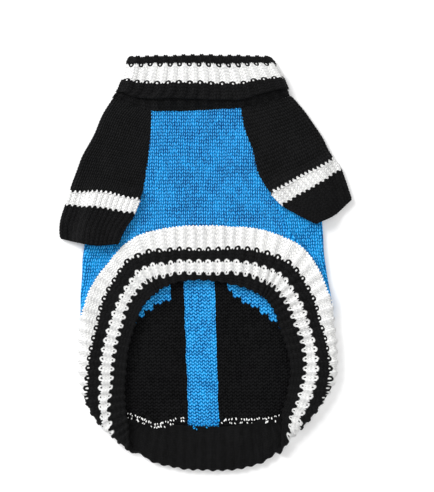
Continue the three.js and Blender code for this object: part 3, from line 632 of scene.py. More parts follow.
def shell_mesh(name, outer, inner, outer_uv, inner_uv, closed):
    """A closed mesh of two grids with equal columns, its rims included.

    outer and inner are arrays of rows by columns by 3, in millimetres. The inner grid may have fewer
    rows. A UV is a pair of arrays, with one more column on a closed ring, so that its end has its own.
    """
    rows, columns = outer.shape[:2]
    inner_rows = inner.shape[0]
    first_inner = rows * columns
    pad = ((0, 0), (0, 0 if closed else 1), (0, 0))
    uvs = np.concatenate([np.pad(np.stack(pair, -1), pad).reshape(-1, 2) for pair in (outer_uv, inner_uv)])
    quads_out, cells_out = grid_faces(rows, columns, closed, 0)
    quads_in, cells_in = grid_faces(inner_rows, columns, closed, first_inner)
    cells_in = cells_in + rows * (columns + 1)
    quads, cells = [quads_out, quads_in[:, ::-1]], [cells_out, cells_in[:, ::-1]]
    j = np.arange(columns - (not closed))
    after = (j + 1) % columns
    for out_row, in_row, turn in ((0, 0, 1), (rows - 1, inner_rows - 1, -1)):
        a, b = out_row * columns, first_inner + in_row * columns
        quads.append(np.stack([a + after, a + j, b + j, b + after], axis=1)[:, ::turn])
        a, b = out_row * (columns + 1), (rows + in_row) * (columns + 1)
        cells.append(np.stack([a + j + 1, a + j, b + j, b + j + 1], axis=1)[:, ::turn])
    quads, cells = np.concatenate(quads), np.concatenate(cells)
    triangles = np.zeros((0, 3), int)
    if not closed:
        fine, coarse = np.arange(rows) * columns, first_inner + np.arange(inner_rows) * columns
        first, last = (zip_edges(fine + column, coarse + column) for column in (0, columns - 1))
        triangles = np.concatenate([first, last[:, ::-1]])
    points = np.concatenate([outer.reshape(-1, 3), inner.reshape(-1, 3)]) * METRE
    halves = np.concatenate([quads[:, [0, 1, 2]], quads[:, [0, 2, 3]], triangles])
    a, b, c = (points[halves[:, i]] for i in range(3))
    if np.sum(a * np.cross(b, c)) < 0:
        quads, cells, triangles = quads[:, ::-1], cells[:, ::-1], triangles[:, ::-1]
    loops = np.concatenate([quads.ravel(), triangles.ravel()])
    uv_loops = np.concatenate([cells.ravel(), (triangles + triangles // columns).ravel()])
    starts = np.concatenate([np.arange(len(quads)) * 4, len(quads) * 4 + np.arange(len(triangles)) * 3])
    mesh = bpy.data.meshes.new(name)
    mesh.vertices.add(len(points))
    fill(mesh.vertices, "co", points)
    mesh.loops.add(len(loops))
    fill(mesh.loops, "vertex_index", loops, np.int32)
    mesh.polygons.add(len(starts))
    fill(mesh.polygons, "loop_start", starts, np.int32)
    fill(mesh.polygons, "use_smooth", np.ones(len(starts)), bool)
    fill(mesh.uv_layers.new(name="stitch").data, "uv", uvs[uv_loops])
    fill(mesh.attributes.new("inside", "FLOAT", "POINT").data, "value", np.arange(len(points)) >= first_inner)
    mesh.update()
    mesh.validate()
    return mesh


def add_piece(name, mesh, material, slot, *nodes):
    """Puts a mesh in the scene as a piece that stands for its nodes."""
    piece = bpy.data.objects.new(name, mesh)
    bpy.context.scene.collection.objects.link(piece)
    mesh.materials.append(material)
    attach(piece, "root")
    if nodes:
        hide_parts(*nodes)
    return piece


# Knit relief


def stocking_relief(u, v):
    """Height of stocking stitch, 0 to 1: rounded legs in a V, u in stitches and v in courses."""
    leg = np.abs(2 * np.mod(u, 1) - 1)
    phase = np.mod(v + 0.5 * leg, 1)
    round_leg = np.sin(math.pi * phase) ** 0.6
    wale = 1 - 0.75 * np.abs(2 * leg - 1) ** 2.5
    return 0.35 * wale + 0.65 * round_leg * wale


def rib_relief(u, v, period):
    """Height of a rib, 0 to 1, and of its stitches: half of each period is raised."""
    phase = np.mod(u / period, 1)
    raised = smoothstep(-0.35, 0.55, np.sin(2 * math.pi * phase))
    return raised, stocking_relief(u, v) * (0.35 + 0.65 * raised)


def edge_distance(points, sides):
    """Distance along the grid's lines to the nearest of the named borders."""
    down = np.cumsum(np.linalg.norm(np.diff(points, axis=0, prepend=points[:1]), axis=-1), axis=0)
    across = np.cumsum(np.linalg.norm(np.diff(points, axis=1, prepend=points[:, :1]), axis=-1), axis=1)
    borders = {"top": down, "bottom": down[-1:] - down, "first": across, "last": across[:, -1:] - across}
    return np.minimum.reduce([borders[side] for side in sides])


def rolled(points, sides, depth=0.55, width=1.6):
    """How far a cloth's face turns down into its seams."""
    return depth * (1 - smoothstep(0, width, edge_distance(points, sides)))


def displaced(points, height, closed, relief):
    """Points moved along their normals, and on the underside kept above what they rest on."""
    normals = grid_normals(points, closed)
    resting = smoothstep(0.2, 0.9, -normals[..., 2]) * smoothstep(1.5, 0.3, points[..., 2])
    moved = points + normals * (height - relief * resting)[..., None]
    moved[..., 2] = np.maximum(moved[..., 2], FLOOR_CLEAR)
    return moved


def ribbed(points, uv, period, rib, stitch, less=0.0, shown=1.0):
    """A closed grid with ribs and stitches of these heights raised on it."""
    raised, stitches = rib_relief(uv[0][:, :-1], uv[1][:, :-1], period)
    return displaced(points, (rib * raised + stitch * stitches) * shown - less, True, rib + stitch)


def ring(columns, stitches):
    """Places of a closed grid's columns in stitches, the last one at the end of the round."""
    return np.arange(columns + 1) / columns * stitches


# Piece by piece


def knit_sizes():
    return bpy.context.scene.sweater_knit


def hem_band_mesh():
    """The band: lines round the opening, steps across, 2x2 rib on the outside and on the lining."""
    knit = knit_sizes()
    per_rib, rows, inner_rows = BAND_GRID
    places = ring(knit.band_ribs * per_rib, 1)
    line = band_line(places[:-1])
    ribs = np.sin(2 * math.pi * knit.band_ribs * places[:-1]) - EDGE_WAVE_INWARD
    way = np.stack([line[2] * ribs, line[3] * ribs, 0 * ribs], axis=-1)

    def surface(shares, depth):
        wave = EDGE_WAVE * smoothstep(EDGE_WAVE_START, 1, shares)[..., None] * way
        return settled(band_point(line, shares * line[5] - line[4], depth) + wave)

    shares, inner_shares = evenly(rows), evenly(inner_rows)[:, None]
    edges = through(BAND_STRIPES, 1.0)(np.mod(places, 1.0))
    courses = np.stack([np.interp(shares, [0, *row, 1], STRIPE_COURSES) for row in edges], axis=1)
    stitches = places * knit.band_ribs * RIB_STITCHES
    uv = np.broadcast_arrays(stitches, courses)
    inner_uv = np.broadcast_arrays(stitches, inner_shares * STRIPE_COURSES[-1])
    outer, inner = surface(shares[:, None], 0.0), surface(inner_shares, BAND_WALL)
    outer = ribbed(outer, uv, RIB_STITCHES, knit.rib_relief, knit.relief, rolled(outer, ["top"]))
    sunk = 1 - rib_relief(inner_uv[0][:, :-1], inner_uv[1][:, :-1], RIB_STITCHES)[0]
    inner = inner + grid_normals(inner, True) * (LINING_RELIEF * sunk)[..., None]
    return shell_mesh("hem_band_knit", outer, inner, uv, inner_uv, True)


def flat_tube(count, length, radius):
    """Places evenly round a flattened tube: place on its middle line, -1 to 1, and the outward normal."""
    straight = length - 2 * radius
    turn = math.pi * radius
    at = np.arange(count) / count * 2 * (straight + turn)
    marks = np.cumsum([0, straight, turn, straight, turn])
    part = np.searchsorted(marks, at, side="right") - 1
    local = at - marks[part]
    way = 2 * local / straight
    sine, cosine = np.sin(local / radius), np.cos(local / radius)
    along = np.choose(part, [way - 1, 1, 1 - way, -1])
    across = np.choose(part, [0, sine, 0, -sine])
    up = np.choose(part, [1, cosine, -1, -cosine])
    return along, across, up


def carried_height(side, x, y, share):
    """How high a sleeve's cloth is carried: full over the body, none outside it."""
    inset = side.outward * (side.fold_x(y) - x)
    return SLEEVE_LIFT * share * smoothstep(-BODY_EDGE_OUTSIDE, -BODY_EDGE_INSIDE, inset)


def width_of(patch, along):
    """Straight width of a patch at each place along."""
    near, far = (patch(np.array([end]), along) for end in (0.0, 1.0))
    return np.linalg.norm(far - near, axis=-1)[:, None]


def cuff_surface(side, down, places, radius):
    """A cuff's flattened tube: down from its stripe to the wrist, places round it."""
    borders = (side.cuff_end, side.cuff_inner, side.cuff_outer)
    patch = coons_patch(plan_curve(side.crease, (0, -SEAM_GAP)), *map(plan_curve, borders))
    along, across, up = places
    width = width_of(patch, down)
    middle = mix(CUFF_RADIUS, width - CUFF_RADIUS, (along + 1) / 2)
    down_grid = np.broadcast_to(down[:, None], middle.shape)
    plan = patch((middle + across * radius) / width, down_grid)
    lift = 1 + side.cuff_end_lift / SLEEVE_LIFT * smoothstep(0.4, 1, down_grid)
    carried = carried_height(side, plan[..., 0], plan[..., 1], lift)
    return np.concatenate([plan, (CUFF_RADIUS + up * radius + carried)[..., None]], axis=-1)


def cuff_mesh(side):
    """A cuff in 1x1 rib, with its inside."""
    knit = knit_sizes()
    per_rib, rows, inner_rows = CUFF_GRID
    columns = knit.cuff_ribs * per_rib
    places = flat_tube(columns, CUFF_SPACING, CUFF_RADIUS)
    grids, uvs = [], []
    for count, depth in ((rows, 0), (inner_rows, CUFF_WALL)):
        down = evenly(count)
        grids.append(settled(cuff_surface(side, down, places, CUFF_RADIUS - depth)))
        stitches = ring(columns, knit.cuff_ribs * CUFF_RIB_STITCHES)
        uvs.append(np.broadcast_arrays(stitches, down[:, None] * CUFF_COURSES))
    outer, inner = grids
    relief = knit.relief * CUFF_STITCH_SHARE
    less = rolled(outer, ["bottom"], 0.5)
    outer = ribbed(outer, uvs[0], CUFF_RIB_STITCHES, knit.cuff_relief, relief, less)
    return shell_mesh(f"cuff_{side.name}_knit", outer, inner, *uvs, True)


def neck_between(start_x, end_x):
    """A part of the neck seam, just below it, as a curve."""

    def curve(across):
        x = mix(start_x, end_x, np.asarray(across))
        return np.stack([x, neck_seam_y(x) - SEAM_GAP], axis=-1)

    return curve


def crease_curve(side, up):
    """The line where a sleeve meets its cuff, and the place on it where the armhole ends."""
    crease = plan_curve(side.crease, (0, up))
    corner_x = side.outward * side.armhole[-1][0]
    return crease, find_place(lambda t: side.outward * crease(t)[0], corner_x, 0.0, 1.0)


def sleeve_surface(side, along, columns, depth):
    """A raglan sleeve: columns run from the raglan seam, over the outer fold, back to the armhole.

    The second result is the arc from the outer fold, below 0 on the front.
    """
    crease, corner = crease_curve(side, CREASE_UP)
    fold = from_neck(plan_curve(side.outer_fold), CREASE_UP)
    rise = smoothstep(SLEEVE_RISE_START, 1, along)[:, None]
    halves = []
    lines = (side.raglan, side.armhole)
    for sign, line, end, shares in zip((1, -1), lines, (0.0, corner), columns):
        seam = from_neck(plan_curve(line, (side.outward * SEAM_GAP, 0)), CREASE_UP)
        neck = neck_between(side.outer_fold[0][0], seam(0.0)[0])
        patch = coons_patch(neck, lambda t, end=end: crease(mix(1.0, end, np.asarray(t))), fold, seam)
        width = width_of(patch, along)
        arc = sign * shares * (width - PANEL_RADIUS + PANEL_QUARTER)
        reach, z = fold_point(arc, PANEL_RADIUS, PANEL_WALL, depth)
        plan = patch(reach / width, np.broadcast_to(along[:, None], reach.shape))
        z = z + carried_height(side, plan[..., 0], plan[..., 1], rise)
        halves.append(np.concatenate([plan, z[..., None], -arc[..., None]], axis=-1))
    whole_grid = np.concatenate([halves[0][:, ::-1], halves[1][:, 1:]], axis=1)
    return whole_grid[..., :3], whole_grid[..., 3]


def crowded(count, power):
    """Shares from 0 to 1, closer together near 0."""
    return evenly(count) ** power


def sleeve_columns(front, back):
    """A sleeve's columns on its front and its back, closer together at the outer fold."""
    return crowded(front, 1.15), crowded(back, 1.25)


def sleeve_mesh(side):
    """A sleeve in stocking stitch, its wales running from the neck to the cuff."""
    knit = knit_sizes()
    rows, inner_rows, *across = SLEEVE_GRID
    columns = sleeve_columns(*across)
    along = evenly(rows)
    length = np.linalg.norm(np.subtract(side.outer_fold[-1], side.outer_fold[0]))
    outer, arcs = sleeve_surface(side, along, columns, 0.0)
    outer = settled(outer)
    uv = np.broadcast_arrays(arcs / knit.wale, (along[:, None] - 1) * round(length / knit.course))
    height = knit.relief * stocking_relief(*uv) - rolled(outer, ["top", "first", "last"])
    outer = displaced(outer, height, False, knit.relief)
    inner = settled(sleeve_surface(side, evenly(inner_rows), columns, PANEL_WALL)[0])
    step = (rows - 1) // (inner_rows - 1)
    inner_uv = [values[::step] for values in uv]
    return shell_mesh(f"sleeve_{side.name}_knit", outer, inner, uv, inner_uv, False)


def half_width(y):
    """Half of the back's width between its side folds."""
    return (RIGHT.fold_x(y) - LEFT.fold_x(y)) / 2


def arc_at(side, x, y):
    """Length of cloth from the side fold to a place on the back."""
    return side.outward * (side.fold_x(y) - x) - PANEL_RADIUS + PANEL_QUARTER


def back_half(side, shares, along, depth):
    """Half of the back panel, from the side seam round the side fold to the middle of the back.

    shares run from 0 at the side seam to 1 at the middle; each column goes from its start at the crease,
    the armhole or the neck down to its place on the band's seam. A point is x, y, z in millimetres, then
    its places across and along the cloth.
    """
    out = side.outward
    crease, crease_end = crease_curve(side, -SEAM_GAP)
    armhole = from_neck(plan_curve(side.armhole))
    seam_start = arc_at(side, side.crease[0][0], side.armhole[-1][1])
    middle_x = (LEFT.fold_x(100) + RIGHT.fold_x(100)) / 2
    steps = evenly(START_STEPS)
    # The start line as rows of (share, arc from the side fold, y, place round the band)
    starts = []
    for step in steps:
        place = mix(side.seam_end, side.fold_place, step)
        starts.append((mix(-1, 0, step), mix(-seam_start, 0, step), crease(step * crease_end)[1], place))
    for step in steps[1:]:
        x, y = armhole(1 - step)
        place = mix(side.fold_place, hem_middle, ARMHOLE_SHARE * step)
        starts.append((step, max(arc_at(side, x, y), step * ARMHOLE_INSET), y, place))
    for step in steps[1:]:
        x = mix(side.armhole[0][0], middle_x, step)
        y = neck_seam_y(x) - SEAM_GAP
        place = mix(side.fold_place, hem_middle, mix(ARMHOLE_SHARE, 1.0, step))
        starts.append((1 + step, arc_at(side, x, y), y, place))
    start_arc, start_y, place = through(starts)(mix(-1, 2, shares)).T
    edge_outer, edge_inner = band_edge(place)
    edge = edge_outer if depth == 0 else edge_inner
    under = band_line(place)[4]
    end_y = edge_outer[:, 1]
    plain = np.maximum(arc_at(side, edge_outer[:, 0], end_y), 0)
    end_arc = np.where(under > 0, np.maximum(plain, under), -np.maximum(plain, -under))
    a = along[:, None]
    y = mix(start_y, end_y, a)
    arc = mix(start_arc / half_width(start_y), end_arc / half_width(end_y), a) * half_width(y)
    reach, z = fold_point(-arc, PANEL_RADIUS, PANEL_WALL, depth)
    fold_x = side.fold_x(y)
    points = np.stack([fold_x - out * reach, y, z], axis=-1)
    blend_start = 1 - np.minimum(FLUSH_LENGTH / np.abs(end_y - start_y), FLUSH_SHARE)
    points = points + (edge - points[-1]) * smoothstep(blend_start, 1, a)[..., None]
    return np.concatenate([points, (fold_x - out * arc)[..., None], y[..., None]], axis=-1)


def side_seam(side):
    """Points down a side seam, on the back's outer face."""
    return back_half(side, np.array([0.0, 0.5]), evenly(LINE_STEPS), 0.0)[:, 0, :3]


def back_panel_mesh():
    """The back panel in stocking stitch outside and its wrong side inside."""
    knit = knit_sizes()
    grids, uvs = [], []
    for depth in (0.0, PANEL_WALL):
        left, right = (back_half(side, *map(evenly, BACK_GRID), depth) for side in SIDES)
        whole_grid = np.concatenate([left, right[:, -2::-1]], axis=1)
        grids.append(settled(whole_grid[..., :3]))
        across, y = whole_grid[..., 3], whole_grid[..., 4]
        uvs.append(((across + WALE_LEAN * (y - WALE_LEAN_FROM)) / knit.wale, -y / knit.course))
    outer, inner = grids
    outer = displaced(outer, -rolled(outer, BORDERS), False, 0.0)
    return shell_mesh("back_panel_knit", outer, inner, *uvs, False)


def belly_edge(side):
    """An edge of the belly panel: the raglan seam, then the side seam."""
    raglan = from_neck(plan_curve(side.raglan))
    seam = plan_curve(side_seam(side)[:, :2], (-side.outward * SEAM_GAP, 0))

    def edge(along):
        t = np.asarray(along, float)
        upper = raglan(np.minimum(t / RAGLAN_SHARE, 1))
        lower = seam(np.maximum((t - RAGLAN_SHARE) / (1 - RAGLAN_SHARE), 0))
        return np.where((t <= RAGLAN_SHARE)[..., None], upper, lower)

    return edge


def belly_panel_mesh():
    """The belly panel, its wales upright, between the raglan seams, the side seams and the band."""
    knit = knit_sizes()
    near, far = map(belly_edge, SIDES)

    def band_at(across):
        return band_edge(mix(LEFT.seam_end, RIGHT.seam_end - 1, across))[0]

    def hem(across):
        across = np.asarray(across, float)
        corner = np.where((across < 0.5)[..., None], near(1.0), far(1.0))
        pull = smoothstep(HEM_PULL, 0, np.minimum(across, 1 - across))[..., None]
        return mix(band_at(across)[..., :2], corner, pull)

    patch = coons_patch(neck_between(LEFT.raglan[0][0], RIGHT.raglan[0][0]), hem, near, far)
    rows, inner_rows, columns = BELLY_GRID
    across, along = np.meshgrid(evenly(columns), evenly(rows))
    top = 2 * PANEL_RADIUS
    rise = (band_at(across[0])[..., 2] - top) * smoothstep(BELLY_RISE_START, 1, along)
    points = np.concatenate([patch(across, along), (top + rise)[..., None]], axis=-1)
    uv = points[..., 0] / knit.wale, -points[..., 1] / knit.course
    step = (rows - 1) // (inner_rows - 1)
    inner, outer = settled(points[::step] - (0, 0, PANEL_WALL)), settled(points)
    height = knit.relief * stocking_relief(*uv) - rolled(outer, BORDERS)
    outer = outer + [0, 0, 1] * height[..., None]
    return shell_mesh("belly_panel_knit", outer, inner, uv, [values[::step] for values in uv], False)


def collar_surface(arc_steps, places, face):
    """The collar's strip: up the stand, round the top bend and down the flap.

    arc_steps run from 0 at the neck seam to 1 at the top bend, 2 past it and 3 at the flap's free edge.
    """
    inside, wall = COLLAR_BEND_INSIDE, PANEL_WALL
    outside = inside + wall
    centre = COLLAR_STAND_INSIDE + outside
    flap_outside = centre + outside
    limits = through(COLLAR_WIDTHS)
    top_y, edge_y = line_through(COLLAR_TOP), line_through(FLAP_EDGE)
    along, across, up = (values[None, :] for values in places)

    def middle_x(y):
        ends = limits(y)
        return mix(ends[..., 0] + flap_outside, ends[..., 1] - flap_outside, (along + 1) / 2)

    stand_radius = COLLAR_STAND_INSIDE if face == "flap" else centre - inside
    at_seam, at_top, at_edge = (middle_x(np.array([[y]])) for y in (SEAM_HEIGHT, TOP_HEIGHT, EDGE_HEIGHT))
    base = neck_seam_y(at_seam + across * stand_radius)
    top = top_y(at_top) - outside
    edge = edge_y(at_edge)
    step = arc_steps[:, None]
    bend = outside if face == "flap" else inside
    angle = math.pi * (1 - np.clip(step - 1, 0, 1))
    stand, flap = step <= 1, step >= 2
    radius = centre + bend * np.cos(angle)
    radius = np.where(stand, stand_radius, radius)
    radius = np.where(flap, flap_outside if face == "flap" else centre + inside, radius)
    y = top + bend * np.sin(angle)
    y = np.where(stand, mix(base, top, np.minimum(step, 1)), y)
    y = np.where(flap, mix(top, edge, np.maximum(step - 2, 0)), y)
    clear = smoothstep(0, (edge - base) * COLLAR_CLEAR_SHARE, y - base)
    middle_z = np.where(flap, flap_outside, mix(PANEL_RADIUS, flap_outside, clear))
    foot = 0.8 + 1.2 * smoothstep(0, 0.12, step) - 2.0 * smoothstep(0.2, 0.4, step)
    x = middle_x(y) + across * (radius + np.where(stand, foot, 0.0))
    return np.stack([x, y, middle_z + up * radius], axis=-1)


def collar_mesh():
    """The ribbed collar, turned down. Its stand shows ribs only near its foot."""
    knit = knit_sizes()
    per_rib, rows, bend_rows = COLLAR_GRID
    columns = knit.collar_ribs * per_rib
    flap_radius = COLLAR_STAND_INSIDE + 2 * (COLLAR_BEND_INSIDE + PANEL_WALL)
    places = flat_tube(columns, COLLAR_SPACING, flap_radius)
    steps = np.concatenate([evenly(rows), np.linspace(1, 2, bend_rows)[1:-1], np.linspace(2, 3, rows)])
    courses = np.interp(steps, [0, 1, 2, 3], COLLAR_COURSES)
    uv = np.broadcast_arrays(ring(columns, knit.collar_ribs * RIB_STITCHES), courses[:, None])
    shown = smoothstep(0.9, 1.2, steps)[:, None]
    outer = settled(collar_surface(steps, places, "flap"))
    outer = ribbed(outer, uv, RIB_STITCHES, knit.rib_relief, knit.relief, shown=shown)
    inner = settled(collar_surface(steps[::2], places, "stand"))
    inner_uv = [values[::2] for values in uv]
    raised, stitch = rib_relief(inner_uv[0][:, :-1], inner_uv[1][:, :-1], RIB_STITCHES)
    height = (STAND_RIB * raised + STAND_STITCH * stitch) * smoothstep(0.24, 0.1, steps[::2])[:, None]
    inner = inner - grid_normals(outer, True)[::2] * height[..., None]
    inner[..., 2] = np.maximum(inner[..., 2], FLOOR_CLEAR)
    return shell_mesh("collar_knit", outer, inner, uv, inner_uv, True)


# Sewing


def even_places(line, pitch, jitter, seed):
    """Points along a line of points at an even pitch, and the directions along and across it there."""
    steps = np.linalg.norm(np.diff(line, axis=0), axis=1)
    at = np.concatenate([[0], np.cumsum(steps)])
    wanted = np.arange(pitch / 2, at[-1], pitch)
    wanted = wanted + np.random.default_rng(seed).uniform(-jitter, jitter, len(wanted)) * pitch
    points, ahead, behind = (
        np.stack([np.interp(wanted + shift, at, line[:, i]) for i in range(3)], axis=-1)
        for shift in (0, 0.1, -0.1)
    )
    along = unit(ahead - behind)
    return points, along, unit(np.cross(along, (0, 0, 1)))


def yarn_loops(centres, along, across, length, slant, rise, thickness):
    """Short bent yarns as arrays of points, by loop, ring and point.

    A ring at t, from 0 to 1, is centred at the centre + along * length * (t - 1/2)
    + across * slant * (t - 1/2) + up * rise * sin(pi t). Its radius thins to nothing at both ends.
    """
    t = evenly(LOOP_RINGS)[None, :, None]
    up = np.cross(along, across)
    up = up * np.sign(up[:, 2:] + 1e-9)
    path = centres[:, None] + (along * length)[:, None] * (t - 0.5) + (across * slant)[:, None] * (t - 0.5)
    path = path + (up * rise)[:, None] * np.sin(math.pi * t)
    side = np.cross(up, unit(along * length + across * slant))
    turn = np.arange(LOOP_POINTS) * 2 * math.pi / LOOP_POINTS
    ring = side[:, None] * np.cos(turn)[None, :, None] + up[:, None] * np.sin(turn)[None, :, None]
    radius = thickness * (0.08 + 0.92 * np.sin(math.pi * t) ** 0.5)
    return path[:, :, None] + ring[:, None] * radius[..., None]


def loops_mesh(name, parts):
    """One mesh of many yarn loops, their ends closed."""
    loops = np.concatenate(parts)
    j = np.arange(LOOP_POINTS)
    after = (j + 1) % LOOP_POINTS
    starts = np.arange(len(loops))[:, None] * LOOP_RINGS * LOOP_POINTS
    first = starts[..., None] + np.arange(LOOP_RINGS - 1)[:, None] * LOOP_POINTS
    second = first + LOOP_POINTS
    quads = np.stack([first + j, first + after, second + after, second + j], axis=-1).reshape(-1, 4)
    caps = np.concatenate([starts + j[::-1], starts + (LOOP_RINGS - 1) * LOOP_POINTS + j])
    mesh = bpy.data.meshes.new(name)
    mesh.from_pydata((loops.reshape(-1, 3) * METRE).tolist(), [], quads.tolist() + caps.tolist())
    mesh.polygons.foreach_set("use_smooth", np.ones(len(mesh.polygons), bool))
    mesh.update()
    return mesh


def seam_row(line, pitch, yarn, seed):
    """A row of slanting loops that joins the two cloths along a seam."""
    points, along, across = even_places(line, pitch, SEAM_JITTER, seed)
    size = np.random.default_rng(seed + 7).uniform(0.8, 1.15, (len(points), 1))
    return yarn_loops(
        points, along, across * size, pitch * SEAM_LENGTH, SEAM_SLANT, 0.3 * yarn, yarn / 2
    )


def speck_row(line, seed):
    """A loose row of short bright loops, each turned and sized by its own numbers."""
    points, along, across = even_places(line, SPECK_PITCH, SPECK_JITTER, seed)
    random = np.random.default_rng(seed + 3)
    turn, shift, size = (
        random.uniform(low, high, (len(points), 1)) for low, high in ((0.5, 2.3), (-0.5, 0.5), (0.75, 1.25))
    )
    way = along * np.cos(turn) + across * np.sin(turn)
    side = np.cross(way, (0, 0, 1))
    return yarn_loops(points + across * shift, way * size, side, *SPECK_LOOP)


def lowered(points, depth):
    """Points moved with the cloth and down into a seam's groove."""
    return settled(points) - (0, 0, depth)


def seam_lines():
    """The seams' lines: both raglan seams, the front neck seam, both side seams and the band's."""
    along, columns = evenly(LINE_STEPS), sleeve_columns(12, 8)
    raglans = [lowered(sleeve_surface(side, along, columns, 0.0)[0][:, 0], 0.55) for side in SIDES]
    x = np.linspace(NECK_SEAM[0][0] + 3, NECK_SEAM[-1][0] - 3, 90)
    neck = lowered(np.column_stack([x, neck_seam_y(x), np.full_like(x, 2 * PANEL_RADIUS)]), 0.5)
    side_seams = [lowered(side_seam(side), 0.5) for side in SIDES]
    line = band_line(np.linspace(-0.40, 0.40, 500))
    from_above = line[4] < 2
    return raglans, neck, side_seams, lowered(band_point(line, -line[4])[from_above], 0.45)


def lining_lines():
    """The band's seam as it shows inside the back: two rows, one on each side of the seam."""
    x = np.linspace(SPECK_LINE[0][0], SPECK_LINE[-1][0], 200)
    y = line_through(SPECK_LINE)(x)
    return [np.column_stack([x, y + offset, 0 * x]) for offset in SPECK_ROWS]


def laid_on(line, pieces, proud):
    """A line's points moved up or down onto the highest cloth below the opening's rim."""
    trees = []
    for piece in pieces:
        points = [vertex.co[:] for vertex in piece.data.vertices]
        corners = [tuple(face.vertices) for face in piece.data.polygons]
        trees.append(BVHTree.FromPolygons(points, corners))
    heights = []
    for x, y, _ in line:
        start = Vector((x * METRE, y * METRE, RIM_HEIGHT * METRE))
        hits = [tree.ray_cast(start, Vector((0, 0, -1)))[0] for tree in trees]
        heights.append(max((hit.z for hit in hits if hit), default=0.0) / METRE)
    return np.column_stack([line[:, :2], np.array(heights) + proud])


# Materials


def operation(kind, swapped=False):
    """A method that adds a math node to the value's tree."""

    def method(self, *others):
        values = (*others, self) if swapped else (self, *others)
        return self.nodes.math(kind, *values)

    return method


class Value:
    """A shader node's output. Arithmetic on it adds math nodes."""

    def __init__(self, nodes, socket):
        self.nodes = nodes
        self.socket = socket

    __add__ = operation("ADD")
    __sub__ = operation("SUBTRACT")
    __rsub__ = operation("SUBTRACT", True)
    __mul__ = operation("MULTIPLY")
    __truediv__ = operation("DIVIDE")
    __pow__ = operation("POWER")
    __abs__ = operation("ABSOLUTE")
    __gt__ = operation("GREATER_THAN")
    __lt__ = operation("LESS_THAN")
    floor = operation("FLOOR")
    fract = operation("FRACT")
    sine = operation("SINE")
    cosine = operation("COSINE")
    root = operation("SQRT")
    at_least = operation("MAXIMUM")
    at_most = operation("MINIMUM")


class Nodes:
    """Short ways to add and link shader nodes in one tree."""

    def __init__(self, tree):
        self.tree = tree

    def put(self, value, target):
        """Links a value to a socket, or sets a plain one on it."""
        if isinstance(value, Value):
            self.tree.links.new(value.socket, target)
        else:
            target.default_value = value

    def add(self, kind, sockets, **settings):
        node = self.tree.nodes.new(f"ShaderNode{kind}")
        for name, value in settings.items():
            setattr(node, name, value)
        for label, value in sockets.items():
            self.put(value, node.inputs[label])
        return node

    def make(self, kind, sockets, output=0, **settings):
        """One output of a new node."""
        return Value(self, self.add(kind, sockets, **settings).outputs[output])

    def math(self, kind, *values):
        return self.make("Math", dict(enumerate(values)), operation=kind)

    def ramp(self, value, low, high):
        """0 at low and 1 at high, smooth between."""
        sockets = {"Value": value, "From Min": low, "From Max": high}
        return self.make("MapRange", sockets, "Result", interpolation_type="SMOOTHSTEP")

    def noise(self, vector, scale, detail):
        return self.make("TexNoise", {"Vector": vector, "Scale": scale, "Detail": detail}, "Fac")

    def mix_colour(self, share, first, second):
        return self.make("Mix", {0: share, 6: first, 7: second}, 2, data_type="RGBA")

    def surface(self, colour, relief, strength, depth, looks):
        """The shader with its bump, linked to the material's output."""
        bump = self.make("Bump", {"Height": relief, "Strength": strength, "Distance": depth})
        shader = self.make("BsdfPrincipled", {"Base Color": colour, "Normal": bump, **looks})
        self.add("OutputMaterial", {"Surface": shader})


def values_of(nodes, sockets):
    """Values by the names of their sockets."""
    return {socket.name: Value(nodes, socket) for socket in sockets}


def new_group(name, inputs, outputs):
    """An empty shader node group with number sockets."""
    group = bpy.data.node_groups.new(name, "ShaderNodeTree")
    for in_out, labels in (("INPUT", inputs), ("OUTPUT", outputs)):
        for label in labels:
            group.interface.new_socket(label, in_out=in_out, socket_type="NodeSocketFloat")
    n = Nodes(group)
    start = group.nodes.new("NodeGroupInput").outputs[: len(inputs)]
    return group, n, values_of(n, start), group.nodes.new("NodeGroupOutput").inputs


